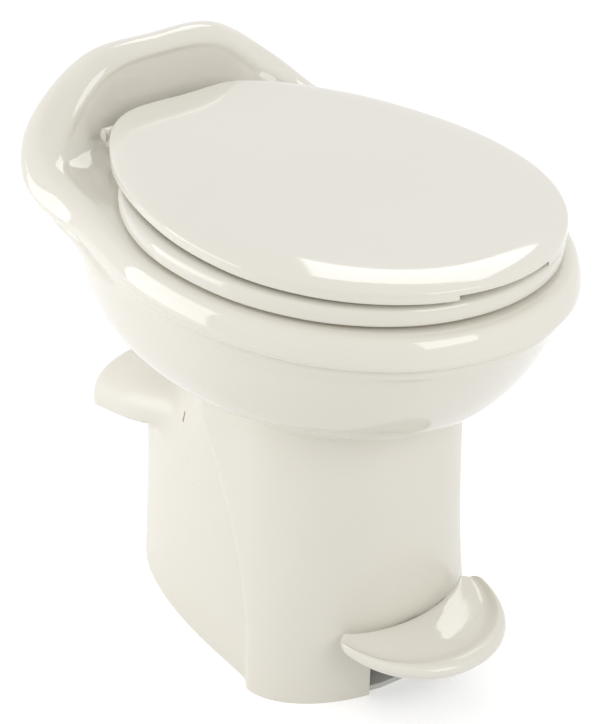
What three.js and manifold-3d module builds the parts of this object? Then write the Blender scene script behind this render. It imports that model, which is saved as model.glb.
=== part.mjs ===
// Gravity-flush toilet for a motor home or caravan: glazed bowl with a raised back,
// moulded pedestal, crescent foot pedal, toothed pedal quadrant that draws a flush blade,
// rear water valve with vacuum breaker, ring seat and lid.
// Millimetres, +Z up, the front of the toilet faces -Y. The origin lies on the floor
// under the middle of the overall width and depth.

import * as THREE from "three";
import { mergeVertices } from "three/addons/utils/BufferGeometryUtils.js";
import Module from "manifold-3d";

const wasm = await Module();
wasm.setup();

// Driving dimensions: overall size
const overallWidth = 386;
const overallDepth = 530;
const crestHeight = 531;

// Driving dimensions: clearances
const fitGap = 0.3;
const runningGap = 0.08;
const slideGap = 0.4;
const looseGap = 1.5;
const cutOverrun = 6;

// Driving dimensions: bowl
const footBottomZ = 302;
const creaseZ = 412;
const bulgeZ = 431;
const bandEdge = 5;
const rimZ = 443.5;
const deckRise = 5.5;
const columnHalf = 110;
const columnCentreY = -44;
const columnFrontY = -155;
const footRearY = 118;
const footWidth = 20;
const footHeight = 14;
const footChamfer = 3;
const ceramicWall = 11;
const rimThickness = 13;
const outletCentreY = 2;
const outletRadius = 24;
const outletFaceZ = 232;
const flangeRadius = 70;
const flangeThickness = 14;
const basinSideMargin = 75;
const basinCentreY = -42;
const basinFrontMargin = 65;
const basinRearGap = 101;

// Driving dimensions: pedestal
const floorHalf = 131;
const floorCentreY = -66;
const floorFrontY = -149;
const flareHeight = 250;
const pedestalWall = 4.5;
const ledgeThickness = 5.5;
const ledgeWidth = 16;
const ridgeFootY = -64;
const ridgeTopY = 30;
const ridgeDepth = 7.5;
const ridgeDepthTop = 3.5;
const ridgeRunTop = 3;
const ridgeRunFoot = 25;
const tailCentreY = -36;
const tailRearY = 224;
const tailShoulderZ = 170;
const tailTopZ = 250;
const podRearY = 243;
const podFrontY = 60;
const podRearHalf = 101;
const podFrontHalf = 87;
const podRearTopZ = 205;
const podFrontTopZ = 246;
const podRearBottomZ = 154;
const podFrontBottomZ = 204;
const podEdgeRadius = 9;
const cutOutHalf = 44;
const cutOutTopZ = 74;
const cutOutDepth = 70;
const serviceHalf = 56;
const serviceBottomZ = 24;
const serviceTopZ = 146;
const serviceDepth = 60;
const markSlotLength = 11;
const markSlotWidth = 3.2;
const markSlotY = 67;
const markSlotZ = 230;
const markSlotDepth = 40;

// Driving dimensions: flush valve stack
const sealHeight = 4.2;
const sealWidth = 5.4;
const sealMargin = 2.3;
const bladeThickness = 4;
const bladeHalf = 36;
const bladeMargin = 8.7;
const upperHousingThickness = 11.5;
const housingFloor = 13;
const housingSide = 13.5;
const housingFrontRun = 12;
const housingRearRun = 9;
const neckLength = 32;
const neckWall = 4.5;

// Driving dimensions: pedal mechanism
const shaftY = -60;
const shaftZ = 34;
const shaftRadius = 5;
const shaftReach = 84;
const hubRadius = 10;
const hubLeftX = -50;
const gearModule = 3;
const quadrantTeeth = 117;
const pressureAngle = Math.PI / 9;
const toothThinning = 0.36;
const gearFaceX = 46;
const gearFaceWidth = 9;
const rackOverlap = 12.5;
const bladeTravel = 57;
const quadrantRim = 9;
const spokeHalf = 7;
const rodCrank = 36;
const rodCentreX = -46;
const crankX = -39.5;
const crankThickness = 6;
const pegRadius = 3;
const pullRodRadius = 3;
const rodPlateThickness = 5;
const rodPlateHalf = 9;
const rodSlotRise = 4;
const leverArmHalf = 16;
const leverRib = 5;
const leverPadTopZ = 63;
const leverPadRearY = -136;
const leverPadFrontY = -190;
const leverPadThickness = 7;
const springRadius = 9;
const springWire = 1.8;
const springY = -116;
const springTurns = 6;
const bracketX = 72;
const bracketThickness = 8;
const bracketHalf = 18;
const bracketTopZ = 50;
const bushOuter = 8.5;
const bushFlange = 11.5;
const bushFlangeThickness = 2;
const clipRadius = 9;
const clipThickness = 1.6;

// Driving dimensions: pedal
const pedalHalf = 85;
const pedalTipY = -239;
const pedalHornY = -138;
const pedalRimZ = 86;
const pedalPadZ = 79;
const pedalBottomZ = 66;
const pedalInnerGap = 3.2;
const pedalPadWidth = 86;

// Driving dimensions: base plate, floor seal and drain horn
const plateThickness = 6;
const closetSpacing = 152;
const closetSlotHalf = 11;
const closetBoltRadius = 4;
const closetBoltTopZ = 34;
const closetNutAcross = 13;
const closetNutHeight = 7;
const washerRadius = 12;
const washerThickness = 2;
const hornInner = 30;
const hornWall = 4.5;
const hornTopZ = 186;
const hornFootZ = 1;
const floorSealOuter = 58;

// Driving dimensions: water supply
const valveFrontY = 122;
const valveRearY = 160;
const valveHalf = 14;
const valveCentreZ = 70;
const valveHalfHeight = 18;
const stemRadius = 5;
const inletOuter = 6;
const inletBore = 3.6;
const inletEndY = 184;
const nutAcross = 20;
const nutLength = 18;
const nutWall = 4;
const collarRadius = 8;
const collarLength = 4;
const barbRadius = 6;
const barbBore = 4;
const barbLength = 11;
const hoseBore = 7;
const hoseOuter = 9.1;
const breakerX = 8;
const breakerY = 184;
const breakerRadius = 16;
const breakerBottomZ = 126;
const breakerTopZ = 186;
const breakerWall = 4;
const breakerCapHeight = 10;
const floatThickness = 5;
const floatZ = 162;
const floatLift = 4;
const ventRadius = 2;
const breakerInletZ = 138;
const breakerOutletZ = 150;
const spudZ = 414;
const spudRadius = 8;
const spudHeadRadius = 12;
const spudHeadThickness = 5;
const spudThreadReach = 24;
const lugRise = 15;

// Driving dimensions: seat and lid
const seatSideMargin = 16;
const seatCentreY = -28;
const seatFrontMargin = 18;
const seatHingeGap = 13;
const seatBottomZ = 447;
const seatTopZ = 464.5;
const seatHoleSideMargin = 87;
const seatHoleFrontMargin = 87;
const seatHoleRearGap = 115;
const seatHoleCentreY = -38;
const padRadius = 8;
const padMargin = 31;
const padFrontY = -86;
const padRearY = 34;
const lidSideMargin = 25;
const lidCentreY = -49;
const lidFrontMargin = 12;
const lidCornerHalf = 68;
const lidHingeReach = 8;
const lidBottomZ = 468;
const lidTopZ = 482;
const lidShell = 5;
const lidDish = 2.4;
const lidBorderInset = 32;
const notchHalf = 48;
const notchDepth = 26;
const notchRise = 5;

// Driving dimensions: hinges
const hingeMargin = 66;
const hingeZ = 466;
const barrelRadius = 7;
const pinRadius = 3.2;
const pinHeadRadius = 5;
const pinHeadLength = 2;
const lugInnerX = 48;
const lugWidth = 13;
const postWidth = 15;
const earWidth = 14;
const hingeGap = 0.8;
const postHalf = 11;
const earBottomRise = 10;
const earOverlap = 40;
const studRadius = 3;
const studEndZ = 420;
const hingeNutAcross = 11;
const hingeNutHeight = 5;

// Driving dimensions: fasteners
const boltRadius = 3;
const boltHeadAcross = 9;
const boltHeadHeight = 4;
const boltEngagement = 10;
const screwRadius = 2.5;
const screwHeadRadius = 4.6;
const screwHeadHeight = 3;
const housingBoltX = 43.5;
const housingBoltFrontY = -66;
const housingBoltRearY = 28;

// Numbers of points and copies
const spanSamples = 2;
const roundSides = 12;
const smallSides = 8;
const runningSides = 20;
const bothSides = [["left", -1], ["right", 1]];

// Levels and radii that follow from the driving dimensions
const halfWidth = overallWidth / 2;
const halfDepth = overallDepth / 2;
const crestRise = crestHeight - rimZ;
const pedestalTopZ = footBottomZ - fitGap;
const hingeY = halfDepth - hingeMargin;
const seatHalf = halfWidth - seatSideMargin;
const seatFrontY = seatFrontMargin - halfDepth;
const seatRearY = hingeY - seatHingeGap;
const seatHoleHalf = halfWidth - seatHoleSideMargin;
const seatHoleFrontY = seatHoleFrontMargin - halfDepth;
const seatHoleRearY = hingeY - seatHoleRearGap;
const earFrontY = seatRearY - earOverlap;
const padX = seatHalf - padMargin;
const lidHalf = halfWidth - lidSideMargin;
const lidFrontY = lidFrontMargin - halfDepth;
const lidBackY = hingeY + lidHingeReach;
const lidBackReach = (lidBackY - lidCentreY) / Math.sqrt(1 - (lidCornerHalf / lidHalf) ** 2);
const basinHalf = halfWidth - basinSideMargin;
const basinFrontY = basinFrontMargin - halfDepth;
const basinRearY = hingeY - basinRearGap;
const spudThreadEndY = basinRearY + spudThreadReach;
const deckZ = rimZ + deckRise;
const upperHousingTopZ = outletFaceZ - fitGap;
const upperHousingBottomZ = upperHousingTopZ - upperHousingThickness;
const bladeTopZ = upperHousingBottomZ - fitGap;
const bladeBottomZ = bladeTopZ - bladeThickness;
const bladeBedZ = bladeBottomZ - fitGap;
const housingBottomZ = bladeBedZ - housingFloor;
const pitchRadius = (gearModule * quadrantTeeth) / 2;
const baseRadius = pitchRadius * Math.cos(pressureAngle);
const tipRadius = pitchRadius + gearModule;
const rootRadius = pitchRadius - gearModule * 1.25;
const toothPitch = gearModule * Math.PI;
const rackPitchZ = shaftZ + pitchRadius;
const pedalTravel = bladeTravel / pitchRadius;
const gearLowX = gearFaceX - gearFaceWidth / 2;
const gearHighX = gearFaceX + gearFaceWidth / 2;
const sealInner = outletRadius + sealMargin;
const sealOuter = sealInner + sealWidth;
const bladeRearY = outletCentreY + outletRadius + bladeMargin;
const bladeFrontY = outletCentreY - outletRadius - bladeMargin;
const rackRearY = shaftY + bladeTravel + rackOverlap;
const rackFrontY = shaftY - rackOverlap;
const sweptFrontY = bladeFrontY - bladeTravel;
const housingLowX = -bladeHalf - slideGap - housingSide;
const housingHighX = gearHighX + slideGap + housingSide;
const housingFrontY = sweptFrontY - slideGap - housingFrontRun;
const housingRearY = bladeRearY + slideGap + housingRearRun;

// Colours and finishes
const bone = 0xebe9e0;
const boneShade = 0xe4e2d8;
const glazedLook = { color: bone, roughness: 0.08, metalness: 0 };
const mouldedLook = { color: boneShade, roughness: 0.34, metalness: 0 };
const seatLook = { color: bone, roughness: 0.16, metalness: 0 };
const rubberLook = { color: 0x2a2b2c, roughness: 0.78, metalness: 0 };
const darkPlasticLook = { color: 0x3d4043, roughness: 0.5, metalness: 0 };
const greyPlasticLook = { color: 0x9b9d9c, roughness: 0.46, metalness: 0 };
const whitePlasticLook = { color: 0xdedfdb, roughness: 0.4, metalness: 0 };
const steelLook = { color: 0xb9bcc0, roughness: 0.28, metalness: 1 };
const brassLook = { color: 0xb9985a, roughness: 0.3, metalness: 1 };
const hoseLook = { color: 0xcfd2d2, roughness: 0.42, metalness: 0 };

function mix(low, high, share) {
  return low + (high - low) * share;
}

// Signed volume of a closed triangle mesh, negative when its faces point inwards
function signedVolume(geometry) {
  const p = geometry.attributes.position;
  const index = geometry.index;
  const a = new THREE.Vector3();
  const b = new THREE.Vector3();
  const c = new THREE.Vector3();
  let sum = 0;
  for (let i = 0; i < index.count; i += 3) {
    a.fromBufferAttribute(p, index.getX(i));
    b.fromBufferAttribute(p, index.getX(i + 1));
    c.fromBufferAttribute(p, index.getX(i + 2));
    sum += a.dot(b.cross(c));
  }
  return sum / 6;
}

// Geometry with shared corners and faces that point outwards
function welded(geometry) {
  const plain = geometry.clone();
  plain.deleteAttribute("normal");
  plain.deleteAttribute("uv");
  const merged = mergeVertices(plain, 1e-4);
  if (signedVolume(merged) < 0) {
    const order = merged.index.array;
    for (let i = 0; i < order.length; i += 3) {
      [order[i], order[i + 1]] = [order[i + 1], order[i]];
    }
  }
  return merged;
}

function solid(geometry) {
  const merged = welded(geometry);
  return new wasm.Manifold(new wasm.Mesh({
    numProp: 3,
    vertProperties: new Float32Array(merged.attributes.position.array),
    triVerts: new Uint32Array(merged.index.array),
  }));
}

function geometryOf(manifold) {
  const mesh = manifold.getMesh();
  const geometry = new THREE.BufferGeometry();
  geometry.setAttribute("position", new THREE.Float32BufferAttribute(mesh.vertProperties, 3));
  geometry.setIndex(new THREE.BufferAttribute(new Uint32Array(mesh.triVerts), 1));
  return geometry;
}

function cutFrom(body, cutters) {
  return cutters.reduce((left, cutter) => left.subtract(solid(cutter)), body);
}

function joined(geometries) {
  return geometries.map(solid).reduce((sum, body) => sum.add(body));
}

// Named mesh whose own origin lies at the given place
function node(name, shape, look, place = [0, 0, 0]) {
  const geometry = shape.isBufferGeometry ? welded(shape) : geometryOf(shape);
  geometry.translate(-place[0], -place[1], -place[2]);
  geometry.computeVertexNormals();
  const mesh = new THREE.Mesh(geometry, new THREE.MeshStandardMaterial(look));
  mesh.name = name;
  mesh.position.set(...place);
  return mesh;
}

// Group that turns or slides as one, placed at its pivot
function assembly(pivot, meshes) {
  const group = new THREE.Group();
  group.position.set(...pivot);
  for (const mesh of meshes) {
    mesh.position.sub(group.position);
    group.add(mesh);
  }
  return group;
}

// Box between two opposite corners
function box(low, high) {
  const size = high.map((value, k) => value - low[k]);
  const middle = high.map((value, k) => (value + low[k]) / 2);
  return new THREE.BoxGeometry(...size).translate(...middle);
}

// Cylinder along an axis from its first end point
function bar(radius, length, axis, start, sides = roundSides) {
  const geometry = new THREE.CylinderGeometry(radius, radius, length, sides);
  geometry.translate(0, length / 2, 0);
  if (axis === "x") {
    geometry.rotateZ(-Math.PI / 2);
  }
  if (axis === "z") {
    geometry.rotateX(Math.PI / 2);
  }
  return geometry.translate(...start);
}

function hexBar(acrossFlats, length, axis, start) {
  return bar(acrossFlats / Math.sqrt(3), length, axis, start, 6);
}

// Body of revolution about Z from [radius, height] pairs
function turned(pairs, sides = roundSides) {
  const profile = pairs.map(([radius, height]) => new THREE.Vector2(radius, height));
  return new THREE.LatheGeometry(profile, sides).rotateX(Math.PI / 2);
}

// Ring of rectangular section about Z
function flatRing(inner, outer, bottom, top, sides = roundSides) {
  return turned([[inner, bottom], [outer, bottom], [outer, top], [inner, top], [inner, bottom]], sides);
}

// Plate with an outline in the plane of Y and Z, drawn along X
function plateAlongX(outline, lowX, highX) {
  const shape = new THREE.Shape(outline.map(([y, z]) => new THREE.Vector2(y, z)));
  const geometry = new THREE.ExtrudeGeometry(shape, { depth: highX - lowX, bevelEnabled: false });
  geometry.rotateY(Math.PI / 2);
  geometry.rotateX(Math.PI / 2);
  return geometry.translate(lowX, 0, 0);
}

function circlePath(Kind, radius, sides) {
  const path = new Kind();
  for (let i = 0; i < sides; i += 1) {
    const angle = (2 * Math.PI * i) / sides;
    const x = radius * Math.cos(angle);
    const y = radius * Math.sin(angle);
    if (i === 0) {
      path.moveTo(x, y);
    } else {
      path.lineTo(x, y);
    }
  }
  path.closePath();
  return path;
}

// Hose or wire of round section along a smooth route, hollow when a bore is given
function hose(points, radius, bore, steps, sides = smallSides) {
  const places = points.map((p) => new THREE.Vector3(...p));
  const route = new THREE.CatmullRomCurve3(places, false, "centripetal");
  const section = circlePath(THREE.Shape, radius, sides);
  if (bore > 0) {
    section.holes.push(circlePath(THREE.Path, bore, sides));
  }
  return new THREE.ExtrudeGeometry(section, { steps, extrudePath: route, bevelEnabled: false });
}

// Skin over a row of rings with equal point counts. An endless row joins its last ring
// to its first, any other row closes each end with a fan about the ring's middle
function skin(rings, endless) {
  const count = rings[0].length;
  const positions = rings.flat().flatMap((p) => [p.x, p.y, p.z]);
  const indices = [];
  const bands = endless ? rings.length : rings.length - 1;
  for (let r = 0; r < bands; r += 1) {
    const next = (r + 1) % rings.length;
    for (let i = 0; i < count; i += 1) {
      const j = (i + 1) % count;
      const a = r * count + i;
      const b = r * count + j;
      const c = next * count + j;
      const d = next * count + i;
      indices.push(a, b, c, a, c, d);
    }
  }
  for (const r of endless ? [] : [0, rings.length - 1]) {
    const middle = rings[r].reduce((sum, p) => sum.add(p), new THREE.Vector3());
    middle.divideScalar(count);
    const hub = positions.length / 3;
    positions.push(middle.x, middle.y, middle.z);
    for (let i = 0; i < count; i += 1) {
      const a = r * count + i;
      const b = r * count + ((i + 1) % count);
      indices.push(...(r === 0 ? [hub, b, a] : [hub, a, b]));
    }
  }
  const geometry = new THREE.BufferGeometry();
  geometry.setAttribute("position", new THREE.Float32BufferAttribute(positions, 3));
  geometry.setIndex(indices);
  return geometry;
}

// Closed smooth ring through control points
function smoothRing(controls) {
  const curve = new THREE.CatmullRomCurve3(controls, true, "centripetal");
  const total = controls.length * spanSamples;
  return Array.from({ length: total }, (_, i) => curve.getPoint(i / total));
}

// Control points of a front half outline, from the right side round the front to the left
function frontControls({ half, centreY, frontY, z, frontPower = 2 }) {
  const stations = 8;
  return Array.from({ length: stations + 1 }, (_, i) => {
    const angle = (Math.PI * i) / stations;
    const c = Math.cos(angle);
    const s = Math.sin(angle);
    const x = half * Math.sign(c) * Math.abs(c) ** (2 / frontPower);
    const y = centreY - (centreY - frontY) * Math.abs(s) ** (2 / frontPower);
    return new THREE.Vector3(x, y, z);
  });
}

// Rear half from left-side stations [x, y, z] that end in the middle, mirrored to the right
function rearControls(stations) {
  const left = stations.map(([x, y, z]) => new THREE.Vector3(-x, y, z));
  const right = stations.slice(0, -1).reverse().map(([x, y, z]) => new THREE.Vector3(x, y, z));
  return [...left, ...right];
}

// Egg-shaped ring. The rear may rise towards the middle
function eggRing(size) {
  const { half, centreY, rearY, z, rearPower = 2, rise = 0 } = size;
  const turnShares = [0.2, 0.4, 0.62, 0.82, 1];
  const stations = turnShares.map((share) => {
    const c = Math.abs(Math.cos((share * Math.PI) / 2));
    const s = Math.sin((share * Math.PI) / 2);
    const y = centreY + (rearY - centreY) * s ** (2 / rearPower);
    return [share < 1 ? half * c ** (2 / rearPower) : 0, y, z + rise * s * s];
  });
  return smoothRing([...frontControls(size), ...rearControls(stations)]);
}

// Ring whose rear stations are shares of the half width, of the half depth, and of the
// height from the rim to the crest
function crestRing(size, stationShares) {
  const stations = stationShares.map(([across, back, up]) => [
    across * halfWidth,
    back * halfDepth,
    rimZ + up * crestRise,
  ]);
  return smoothRing([...frontControls(size), ...rearControls(stations)]);
}

// Rear stations of the rings of the raised back: flank, corner, shoulder, crown, middle
const deckShare = deckRise / crestRise;
const crestShares = {
  underCrest: [
    [0.901, 0.44, -0.325], [0.867, 0.806, -0.213], [0.668, 0.986, 0.033],
    [0.376, 1, 0.615], [0, 1, 0.726],
  ],
  crease: [
    [0.916, 0.44, -0.248], [0.892, 0.806, -0.047], [0.725, 0.956, 0.276],
    [0.396, 0.991, 0.869], [0, 1, 0.935],
  ],
  bulge: [
    [0.9, 0.44, -0.099], [0.822, 0.781, 0.107], [0.668, 0.921, 0.419],
    [0.366, 0.956, 0.935], [0, 0.962, 0.99],
  ],
  crestInner: [
    [0.86, 0.44, -0.033], [0.777, 0.761, 0.129], [0.623, 0.886, 0.43],
    [0.351, 0.916, 0.902], [0, 0.922, 0.963],
  ],
  lip: [
    [0.81, 0.44, 0], [0.732, 0.741, 0.107], [0.583, 0.851, 0.353],
    [0.331, 0.881, 0.77], [0, 0.886, 0.853],
  ],
  lipInner: [
    [0.78, 0.44, 0], [0.697, 0.726, 0.052], [0.548, 0.846, 0.276],
    [0.311, 0.884, 0.693], [0, 0.892, 0.77],
  ],
  wallMiddle: [
    [0.735, 0.43, 0], [0.63, 0.703, 0], [0.524, 0.828, 0.176],
    [0.308, 0.881, 0.386], [0, 0.889, 0.441],
  ],
  wallFoot: [
    [0.69, 0.42, 0], [0.57, 0.68, 0], [0.5, 0.79, deckShare],
    [0.3, 0.84, deckShare], [0, 0.845, deckShare],
  ],
  deckEdge: [
    [0.62, 0.38, 0], [0.51, 0.6, 0], [0.42, 0.7, deckShare],
    [0.22, 0.705, deckShare], [0, 0.705, deckShare],
  ],
  deckFoot: [
    [0.6, 0.36, 0], [0.49, 0.56, 0], [0.4, 0.67, 0],
    [0.21, 0.68, 0], [0, 0.68, 0],
  ],
  hollowWall: [
    [0.7, 0.44, -0.138], [0.6, 0.735, -0.132], [0.54, 0.85, -0.099],
    [0.31, 0.885, -0.099], [0, 0.89, -0.099],
  ],
  hollowFront: [
    [0.775, 0.44, -0.154], [0.71, 0.765, -0.055], [0.583, 0.875, 0.165],
    [0.321, 0.915, 0.607], [0, 0.92, 0.695],
  ],
  hollowRear: [
    [0.82, 0.44, -0.199], [0.767, 0.79, -0.11], [0.623, 0.922, 0.165],
    [0.341, 0.957, 0.607], [0, 0.962, 0.695],
  ],
  hollowBack: [
    [0.87, 0.44, -0.496], [0.8, 0.785, -0.397], [0.618, 0.93, -0.287],
    [0.35, 0.97, -0.199], [0, 0.977, -0.143],
  ],
};

// Front halves of the same rings: shares of the half width and of the half depth
const crestFrontShares = {
  underCrest: [0.974, 0.97],
  crease: [1, 0.998],
  bulge: [0.992, 0.991],
  crestInner: [0.962, 0.972],
  lip: [0.927, 0.948],
  lipInner: [0.907, 0.932],
  wallMiddle: [0.87, 0.905],
  wallFoot: [0.83, 0.875],
  deckEdge: [0.725, 0.81],
  deckFoot: [0.685, 0.785],
  hollowWall: [0.79, 0.872],
  hollowFront: [0.86, 0.91],
  hollowRear: [0.912, 0.94],
  hollowBack: [0.935, 0.952],
};

function backRing(name, z) {
  const [wide, ahead] = crestFrontShares[name];
  const centreY = -ridgeDepth * 0.7;
  const size = { half: halfWidth * wide, centreY, frontY: -halfDepth * ahead, z, frontPower: 2.12 };
  return crestRing(size, crestShares[name]);
}

// Outer belly rows: height, half width, front reach, centre, rear reach, rise of the rear
const bellyShares = [
  [0.05, 0.677, 0.708, -0.06, 0.48, 0],
  [0.16, 0.811, 0.772, -0.04, 0.56, 0],
  [0.3, 0.9, 0.82, -0.03, 0.655, 0],
  [0.48, 0.952, 0.868, -0.021, 0.765, 0.02],
  [0.69, 0.968, 0.915, -0.021, 0.87, 0.03],
  [0.88, 0.971, 0.955, -0.02, 0.94, 0.1],
];

function bellyRing([up, wide, ahead, middle, behind, lift], wall) {
  return eggRing({
    half: halfWidth * wide - wall,
    centreY: halfDepth * middle,
    frontY: -halfDepth * ahead + wall,
    rearY: halfDepth * behind - wall,
    z: mix(footBottomZ, creaseZ, up) + (wall * (1 - up)) / 2,
    frontPower: 2.06,
    rearPower: 2.4,
    rise: crestRise * lift,
  });
}

function footRing(inset, z) {
  return eggRing({
    half: columnHalf - inset,
    centreY: columnCentreY,
    frontY: columnFrontY + inset,
    rearY: footRearY - inset,
    z,
    rearPower: 2.35,
  });
}

// Basin rows: depth below the rim, then how far the half width, the front and the rear
// have kept from the outlet
const basinShares = [
  [0.035, 0.985, 0.99, 0.985],
  [0.2, 0.95, 0.965, 0.94],
  [0.4, 0.82, 0.87, 0.77],
  [0.58, 0.52, 0.53, 0.45],
  [0.76, 0.3, 0.31, 0.26],
  [0.89, 0.09, 0.11, 0.08],
];

function basinRing([down, wide, ahead, behind], wall) {
  return eggRing({
    half: mix(outletRadius, basinHalf, wide) + wall,
    centreY: mix(outletCentreY, basinCentreY, wide),
    frontY: mix(outletCentreY - outletRadius, basinFrontY, ahead) - wall,
    rearY: mix(outletCentreY + outletRadius, basinRearY, behind) + wall,
    z: mix(rimZ, outletFaceZ, down) - wall * down,
  });
}

function outletRing(radius, z) {
  return eggRing({
    half: radius,
    centreY: outletCentreY,
    frontY: outletCentreY - radius,
    rearY: outletCentreY + radius,
    z,
  });
}

function rimRing(offset, z) {
  return eggRing({
    half: basinHalf + offset,
    centreY: basinCentreY,
    frontY: basinFrontY - offset,
    rearY: basinRearY + offset,
    z,
  });
}

// Places of the four bolts that hold the bowl to the pedestal ledge
function bowlBoltPlaces() {
  const inset = pedestalWall + boltHeadAcross / 2 + looseGap;
  const ring = footRing(inset, 0);
  const pickShares = [2 / 18, 6 / 18, 11 / 18, 15 / 18];
  return pickShares.map((share) => ring[Math.round(share * ring.length)]).map(({ x, y }) => [x, y]);
}

// Places of the four bolts through both flush valve housings
function housingBoltPlaces() {
  const highX = housingHighX - housingSide / 2;
  return [-housingBoltX, highX].flatMap((x) => [housingBoltFrontY, housingBoltRearY].map((y) => [x, y]));
}

function bowlShape() {
  const hollowZ = rimZ - rimThickness;
  const neckRadius = mix(outletRadius, flangeRadius, 0.52);
  const rings = [
    footRing(0, footBottomZ),
    footRing(0, footBottomZ + footChamfer),
    ...bellyShares.map((row) => bellyRing(row, 0)),
    backRing("underCrest", creaseZ - bandEdge / 2),
    backRing("crease", creaseZ + bandEdge),
    backRing("bulge", bulgeZ),
    backRing("crestInner", mix(bulgeZ, rimZ, 0.76)),
    backRing("lip", mix(bulgeZ, rimZ, 0.97)),
    backRing("lipInner", rimZ),
    backRing("wallMiddle", rimZ),
    backRing("wallFoot", rimZ),
    backRing("deckEdge", rimZ),
    backRing("deckFoot", rimZ),
    rimRing(footChamfer, mix(rimZ, bulgeZ, 0.1)),
    ...basinShares.map((row) => basinRing(row, 0)),
    outletRing(outletRadius, outletFaceZ + flangeThickness / 2),
    outletRing(outletRadius, outletFaceZ),
    outletRing(flangeRadius - footChamfer, outletFaceZ),
    outletRing(flangeRadius, outletFaceZ + flangeThickness),
    outletRing(neckRadius, outletFaceZ + flangeThickness + footChamfer),
    ...basinShares.slice(1, 5).reverse().map((row) => basinRing(row, ceramicWall)),
    rimRing(ceramicWall, hollowZ - footChamfer),
    rimRing(ceramicWall * 1.8, hollowZ + footChamfer),
    backRing("hollowWall", hollowZ + footChamfer),
    backRing("hollowFront", hollowZ + footChamfer),
    backRing("hollowRear", hollowZ - footChamfer),
    backRing("hollowBack", creaseZ),
    ...bellyShares.filter((_, i) => i % 2 === 0).reverse().map((row) => bellyRing(row, ceramicWall)),
    footRing(footWidth - footChamfer, footBottomZ + footHeight),
    footRing(footWidth, footBottomZ),
  ];
  return skin(rings, true);
}

// Glazed bowl with drilled deck, foot and outlet flange
function bowl() {
  const pads = [-1, 1].map((side) => {
    const middle = side * (lugInnerX + lugWidth + hingeGap + postWidth / 2);
    const half = postWidth / 2 + looseGap;
    const low = [middle - half, hingeY - postHalf - looseGap, deckZ];
    const high = [middle + half, hingeY + postHalf + looseGap, deckZ + deckRise];
    return box(low, high);
  });
  const studs = [-1, 1].map((side) => {
    const x = side * (lugInnerX + lugWidth + hingeGap + postWidth / 2);
    return bar(studRadius + fitGap, deckZ - studEndZ, "z", [x, hingeY, studEndZ]);
  });
  const footHoles = bowlBoltPlaces().map(([x, y]) => (
    bar(boltRadius + fitGap, boltEngagement + cutOverrun, "z", [x, y, footBottomZ - cutOverrun], smallSides)
  ));
  const flangeHoles = housingBoltPlaces()
    .map(([x, y]) => (
      bar(screwRadius + fitGap, boltEngagement + cutOverrun, "z", [x, y, outletFaceZ - cutOverrun], smallSides)
    ));
  const spudHole = bar(
    spudRadius + fitGap,
    spudThreadEndY - basinRearY + ceramicWall * 2,
    "y",
    [0, basinRearY - ceramicWall * 2, spudZ],
  );
  return node("bowl", cutFrom(solid(bowlShape()), [...pads, ...studs, ...footHoles, ...flangeHoles, spudHole]),
    glazedLook);
}

// How much of the flare towards the floor is left at a height
function flareAt(z) {
  return (1 - Math.min(z, flareHeight) / flareHeight) ** 2;
}

// One level of the pedestal: proud front column, ridge step, recessed tail. The inset
// moves the whole outline inwards
function pedestalRing(z, inset) {
  const flare = flareAt(z);
  const half = mix(columnHalf, floorHalf, flare);
  const centreY = mix(columnCentreY, floorCentreY, flare);
  const frontY = mix(columnFrontY, floorFrontY, flare);
  const power = mix(2, 1.85, flare);
  const rise = Math.min(1, Math.max(0, z) / flareHeight);
  const ridgeY = mix(ridgeFootY, ridgeTopY, rise ** 1.6) - inset;
  const ridgeRun = mix(ridgeRunTop, ridgeRunFoot, flare);
  const above = Math.min(1, Math.max(0, (z - tailShoulderZ) / (tailTopZ - tailShoulderZ)));
  const rearY = mix(tailRearY, footRearY, above ** 1.2) - inset;
  const tailHalf = half - mix(ridgeDepth, ridgeDepthTop, rise) - inset;
  const tailPower = mix(2.5, 2.35, above);
  const left = [];
  const frontSteps = 6;
  for (let i = 0; i <= frontSteps; i += 1) {
    const angle = (Math.PI * i) / (2 * frontSteps);
    const s = Math.abs(Math.sin(angle)) ** (2 / power);
    const c = i < frontSteps ? Math.cos(angle) ** (2 / power) : 0;
    left.push([(half - inset) * s, centreY - (centreY - frontY - inset) * c]);
  }
  const sideSteps = 2;
  for (let i = 1; i <= sideSteps; i += 1) {
    const y = mix(centreY, Math.max(ridgeY, centreY + 1), i / sideSteps);
    left.push([half - inset, y]);
  }
  const stepY = left[left.length - 1][1] + ridgeRun;
  const reach = rearY - tailCentreY;
  const stepAngle = Math.asin(Math.min(0.9, Math.max(0, (stepY - tailCentreY) / reach) ** (tailPower / 2)));
  const tailSteps = 6;
  for (let i = 0; i <= tailSteps; i += 1) {
    const angle = mix(stepAngle, Math.PI / 2, i / tailSteps);
    const x = i < tailSteps ? tailHalf * Math.cos(angle) ** (2 / tailPower) : 0;
    const along = tailCentreY + reach * Math.sin(angle) ** (2 / tailPower);
    left.push([x, Math.max(along, stepY)]);
  }
  const right = left.slice(1, -1).reverse();
  return [
    ...left.map(([x, y]) => new THREE.Vector3(-x, y, z)),
    ...right.map(([x, y]) => new THREE.Vector3(x, y, z)),
  ];
}

// Levels of the pedestal skin as shares of its height
const levelShares = [0.08, 0.2, 0.36, 0.5, 0.62, 0.72, 0.82];

function columnSkin(inset, bottomZ, topZ) {
  const levels = levelShares.map((share) => share * pedestalTopZ);
  const inner = levels.filter((z) => z > bottomZ && z < topZ);
  return skin([bottomZ, ...inner, topZ].map((z) => pedestalRing(z, inset)), false);
}

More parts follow.
